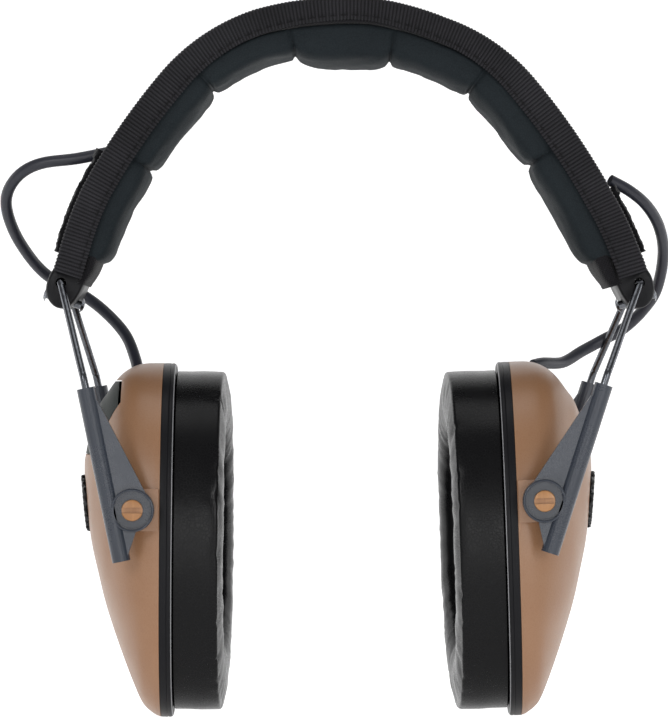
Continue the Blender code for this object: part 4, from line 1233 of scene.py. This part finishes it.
    def flange(self) -> None:
        """A thin light-grey tube on the black ring's edge where the cushion clips on: a painted highlight of that
        edge.
        """
        tall, wide, _ = self.cushion
        x = -self.base_thick - 0.04 - self.pivot_out
        outline = oval(self.width - 1.1, self.height - 1.1, 120)
        path = [Vector((x, y, z + self.middle)) for y, z in outline]
        rings = []
        for i, point in enumerate(path):
            way = (path[(i + 1) % len(path)] - path[i - 1]).normalized()
            other = way.cross(Vector((1, 0, 0))).normalized()
            turns = [math.tau * k / 8 for k in range(8)]
            rings.append(
                [point + Vector((0.22 * math.cos(a), 0, 0)) + other * (0.22 * math.sin(a)) for a in turns]
            )
        lip = self.put(loft(f"{self.side.label}_flange_lip", rings, loop=True))
        dress(lip, HIGHLIGHT_LINE, self.body, "black_plastic")


@dataclass
class Bail:
    """The bent wire of one side, from its crossbar in the band's end down into both arm tubes."""

    side: Side
    radius: float = 1.05
    half_bar: float = 22.6
    half_reach: float = 42.5
    tube_shift: float = 1.9
    flare: tuple[float, float] = (3.5, 28.5)
    end: float = 76.0

    def build(self) -> None:
        """Builds the wire round its hinge, along the direction in which the height slides."""
        label = self.side.label
        joints = {j["name"]: j for j in frame["joints"]}
        hinge = Vector(joints[f"{label}_fold"]["pos_m"]) / MM
        down = Vector(joints[f"{label}_height"]["axis"]).normalized()
        across = Vector((0, 1, 0))
        inward = down.cross(across) * (-self.side.value * self.tube_shift)
        leg = [(0.0, self.half_bar - 2.4), (0.7, self.half_bar - 0.6), (self.flare[0], self.half_bar + 1.2)]
        for k in range(1, 12):
            share = k / 12
            ease = share * share * (3 - 2 * share) * 0.35 + share * 0.65
            drop = self.flare[0] + (self.flare[1] - self.flare[0]) * share
            leg.append((drop, self.half_bar + 1.2 + (self.half_reach - self.half_bar - 1.2) * ease))
        leg += [(self.flare[1] + 1.5, self.half_reach), (50.0, self.half_reach), (self.end, self.half_reach)]
        front = [hinge + down * d - across * y + inward * self.shift_share(d) for d, y in leg]
        rear = [hinge + down * d + across * y + inward * self.shift_share(d) for d, y in leg]
        path = smooth_line([*reversed(front), hinge, *rear], 6)
        wire = loft(f"{label}_bail_wire", tube_rings(path, self.radius, 20))
        dress(wire, WIRE, f"{label}_bail", "wire_steel", f"{label}_wire_bail")

    def shift_share(self, drop: float) -> float:
        """How far the wire has moved over from the hinge to the tubes' line, from 0 to 1."""
        return max(0.0, min(1.0, drop / self.flare[1]))


# ---- link cables -----------------------------------------------------------------------------------------
@dataclass
class LinkCable:
    """The cable between a cup and the band, in three lengths."""

    side: Side
    points: tuple[tuple[float, float, float], ...]
    diameter: float = 3.4
    step: float = 1.5

    def build(self) -> None:
        label = self.side.label
        line = evenly(smooth_line([Vector(p) for p in self.points]), self.step)
        third = len(line) // 3
        cuts = (0, third, 2 * third, len(line) - 1)
        spans = (
            ("lower", f"{label}_cup", f"{label}_arms"),
            ("middle", f"{label}_arms", f"{label}_bail"),
            ("upper", f"{label}_bail", "headband"),
        )
        rings = tube_rings(line, self.diameter / 2, 16)
        for (word, start_body, end_body), low, high in zip(spans, cuts, cuts[1:]):
            path = [p * MM for p in line[low : high + 1]]
            piece = loft(f"{label}_cable_{word}", rings[low : high + 1])
            dress(piece, JACKET, "", "cable_rubber", f"{label}_link_cable")
            way = (path[-1] - path[0]).normalized()
            inset = way * (self.diameter / 2 * MM)
            tuple(path[0] + inset)
            tuple(path[-1] - inset)
            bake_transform(piece)
            long = sum((b - a).length for a, b in zip(path, path[1:]))


LEFT_CABLE = LinkCable(
    Side.LEFT,
    (
        (-62.2, 18.0, -89.3),
        (-62.8, 20.5, -85.6),
        (-66.0, 26.0, -78.0),
        (-72.3, 31.5, -71.1),
        (-79.4, 33.0, -65.8),
        (-89.9, 28.5, -59.8),
        (-96.8, 21.0, -50.9),
        (-100.0, 13.0, -42.6),
        (-99.8, 8.0, -36.6),
        (-96.0, 4.5, -31.3),
        (-89.6, 2.0, -28.2),
        (-79.4, 0.5, -26.9),
        (-70.6, 0.0, -25.2),
    ),
)
RIGHT_CABLE = LinkCable(
    Side.RIGHT,
    (
        (53.8, 18.0, -86.8),
        (56.6, 21.0, -86.2),
        (62.8, 28.5, -86.0),
        (68.6, 34.0, -82.8),
        (74.2, 36.5, -79.8),
        (81.4, 36.5, -75.8),
        (87.2, 34.0, -70.1),
        (90.7, 28.5, -64.0),
        (92.1, 21.0, -54.1),
        (90.4, 13.0, -46.4),
        (86.5, 7.0, -40.4),
        (81.3, 3.0, -36.2),
        (75.4, 0.5, -33.1),
    ),
)


# ---- studio ----------------------------------------------------------------------------------------------
@dataclass
class Studio:
    """The camera, the pale floor and the soft lights, in metres."""

    distance: float = 1.6
    centre: tuple[float, float] = (-0.00464, -0.0853)
    view_height: float = 0.2088
    floor: float = -0.1915

    def build(self) -> None:
        """Sets the camera, the floor and the lights."""
        scene = bpy.context.scene
        data = bpy.data.cameras.new("camera")
        data.sensor_width = 36.0
        data.lens = 36.0 * self.distance / self.view_height
        data.clip_start, data.clip_end = 0.05, 20.0
        camera = bpy.data.objects.new("camera", data)
        camera.location = (self.centre[0], -self.distance, self.centre[1])
        camera.rotation_euler = (math.radians(90), 0, 0)
        scene.collection.objects.link(camera)
        scene.camera = camera
        self.backdrop()
        self.light("key", (-0.62, -1.25, 0.3), 0.36, 4.2)
        self.light("fill", (0.7, -1.25, 0.12), 0.36, 4.2)
        self.light("front", (0.0, -1.9, -0.14), 0.5, 5.0)
        self.light("top", (0.0, -0.2, 1.0), 0.8, 3.4)
        self.light("left_rim", (-1.0, 0.35, 0.1), 0.6, 2.2)
        self.light("right_rim", (1.0, 0.35, 0.1), 0.6, 2.2)
        world = bpy.data.worlds.new("studio")
        world.use_nodes = True
        background = world.node_tree.nodes["Background"]
        background.inputs[0].default_value = (1.0, 1.0, 1.0, 1.0)
        background.inputs[1].default_value = 0.26
        scene.world = world
        scene.view_settings.view_transform = "Standard"

    def backdrop(self) -> None:
        """A pale floor that curves up behind."""
        profile = [(-3.0, 0.0), (1.0, 0.0)]
        bend = [math.radians(6 * k) for k in range(1, 16)]
        profile += [(1.0 + 0.8 * math.sin(a), 0.8 - 0.8 * math.cos(a)) for a in bend]
        profile += [(1.8, 3.0)]
        mesh = bpy.data.meshes.new("floor")
        corners = [(x, y, z + self.floor) for y, z in profile for x in (-3.0, 3.0)]
        faces = [(2 * i, 2 * i + 1, 2 * i + 3, 2 * i + 2) for i in range(len(profile) - 1)]
        mesh.from_pydata(corners, [], faces)
        mesh.shade_smooth()
        floor = bpy.data.objects.new("floor", mesh)
        bpy.context.scene.collection.objects.link(floor)
        paper = bpy.data.materials.new("paper")
        paper.use_nodes = True
        shader = paper.node_tree.nodes["Principled BSDF"]
        shader.inputs["Base Color"].default_value = (0.93, 0.93, 0.93, 1.0)
        shader.inputs["Roughness"].default_value = 0.9
        shader.inputs["Emission Color"].default_value = (1.0, 1.0, 1.0, 1.0)
        shader.inputs["Emission Strength"].default_value = 0.55
        floor.data.materials.append(paper)

    def light(self, name: str, place: tuple[float, float, float], size: float, power: float) -> None:
        """A square soft light that points at the object."""
        data = bpy.data.lights.new(name, "AREA")
        data.energy = power
        data.size = size
        lamp = bpy.data.objects.new(name, data)
        lamp.location = place
        aim = Vector((0, 0, self.centre[1])) - Vector(place)
        lamp.rotation_euler = aim.to_track_quat("-Z", "Y").to_euler()
        bpy.context.scene.collection.objects.link(lamp)


def main() -> None:
    """Builds the studio, the cables, the band and the cups."""
    logging.basicConfig(level=logging.INFO, format="%(name)s: %(message)s")
    Studio().build()
    for cable in (LEFT_CABLE, RIGHT_CABLE):
        cable.build()
    HeadBand().build()
    for side in Side:
        EarCup(side).build()


if __name__ == "__main__":
    main()
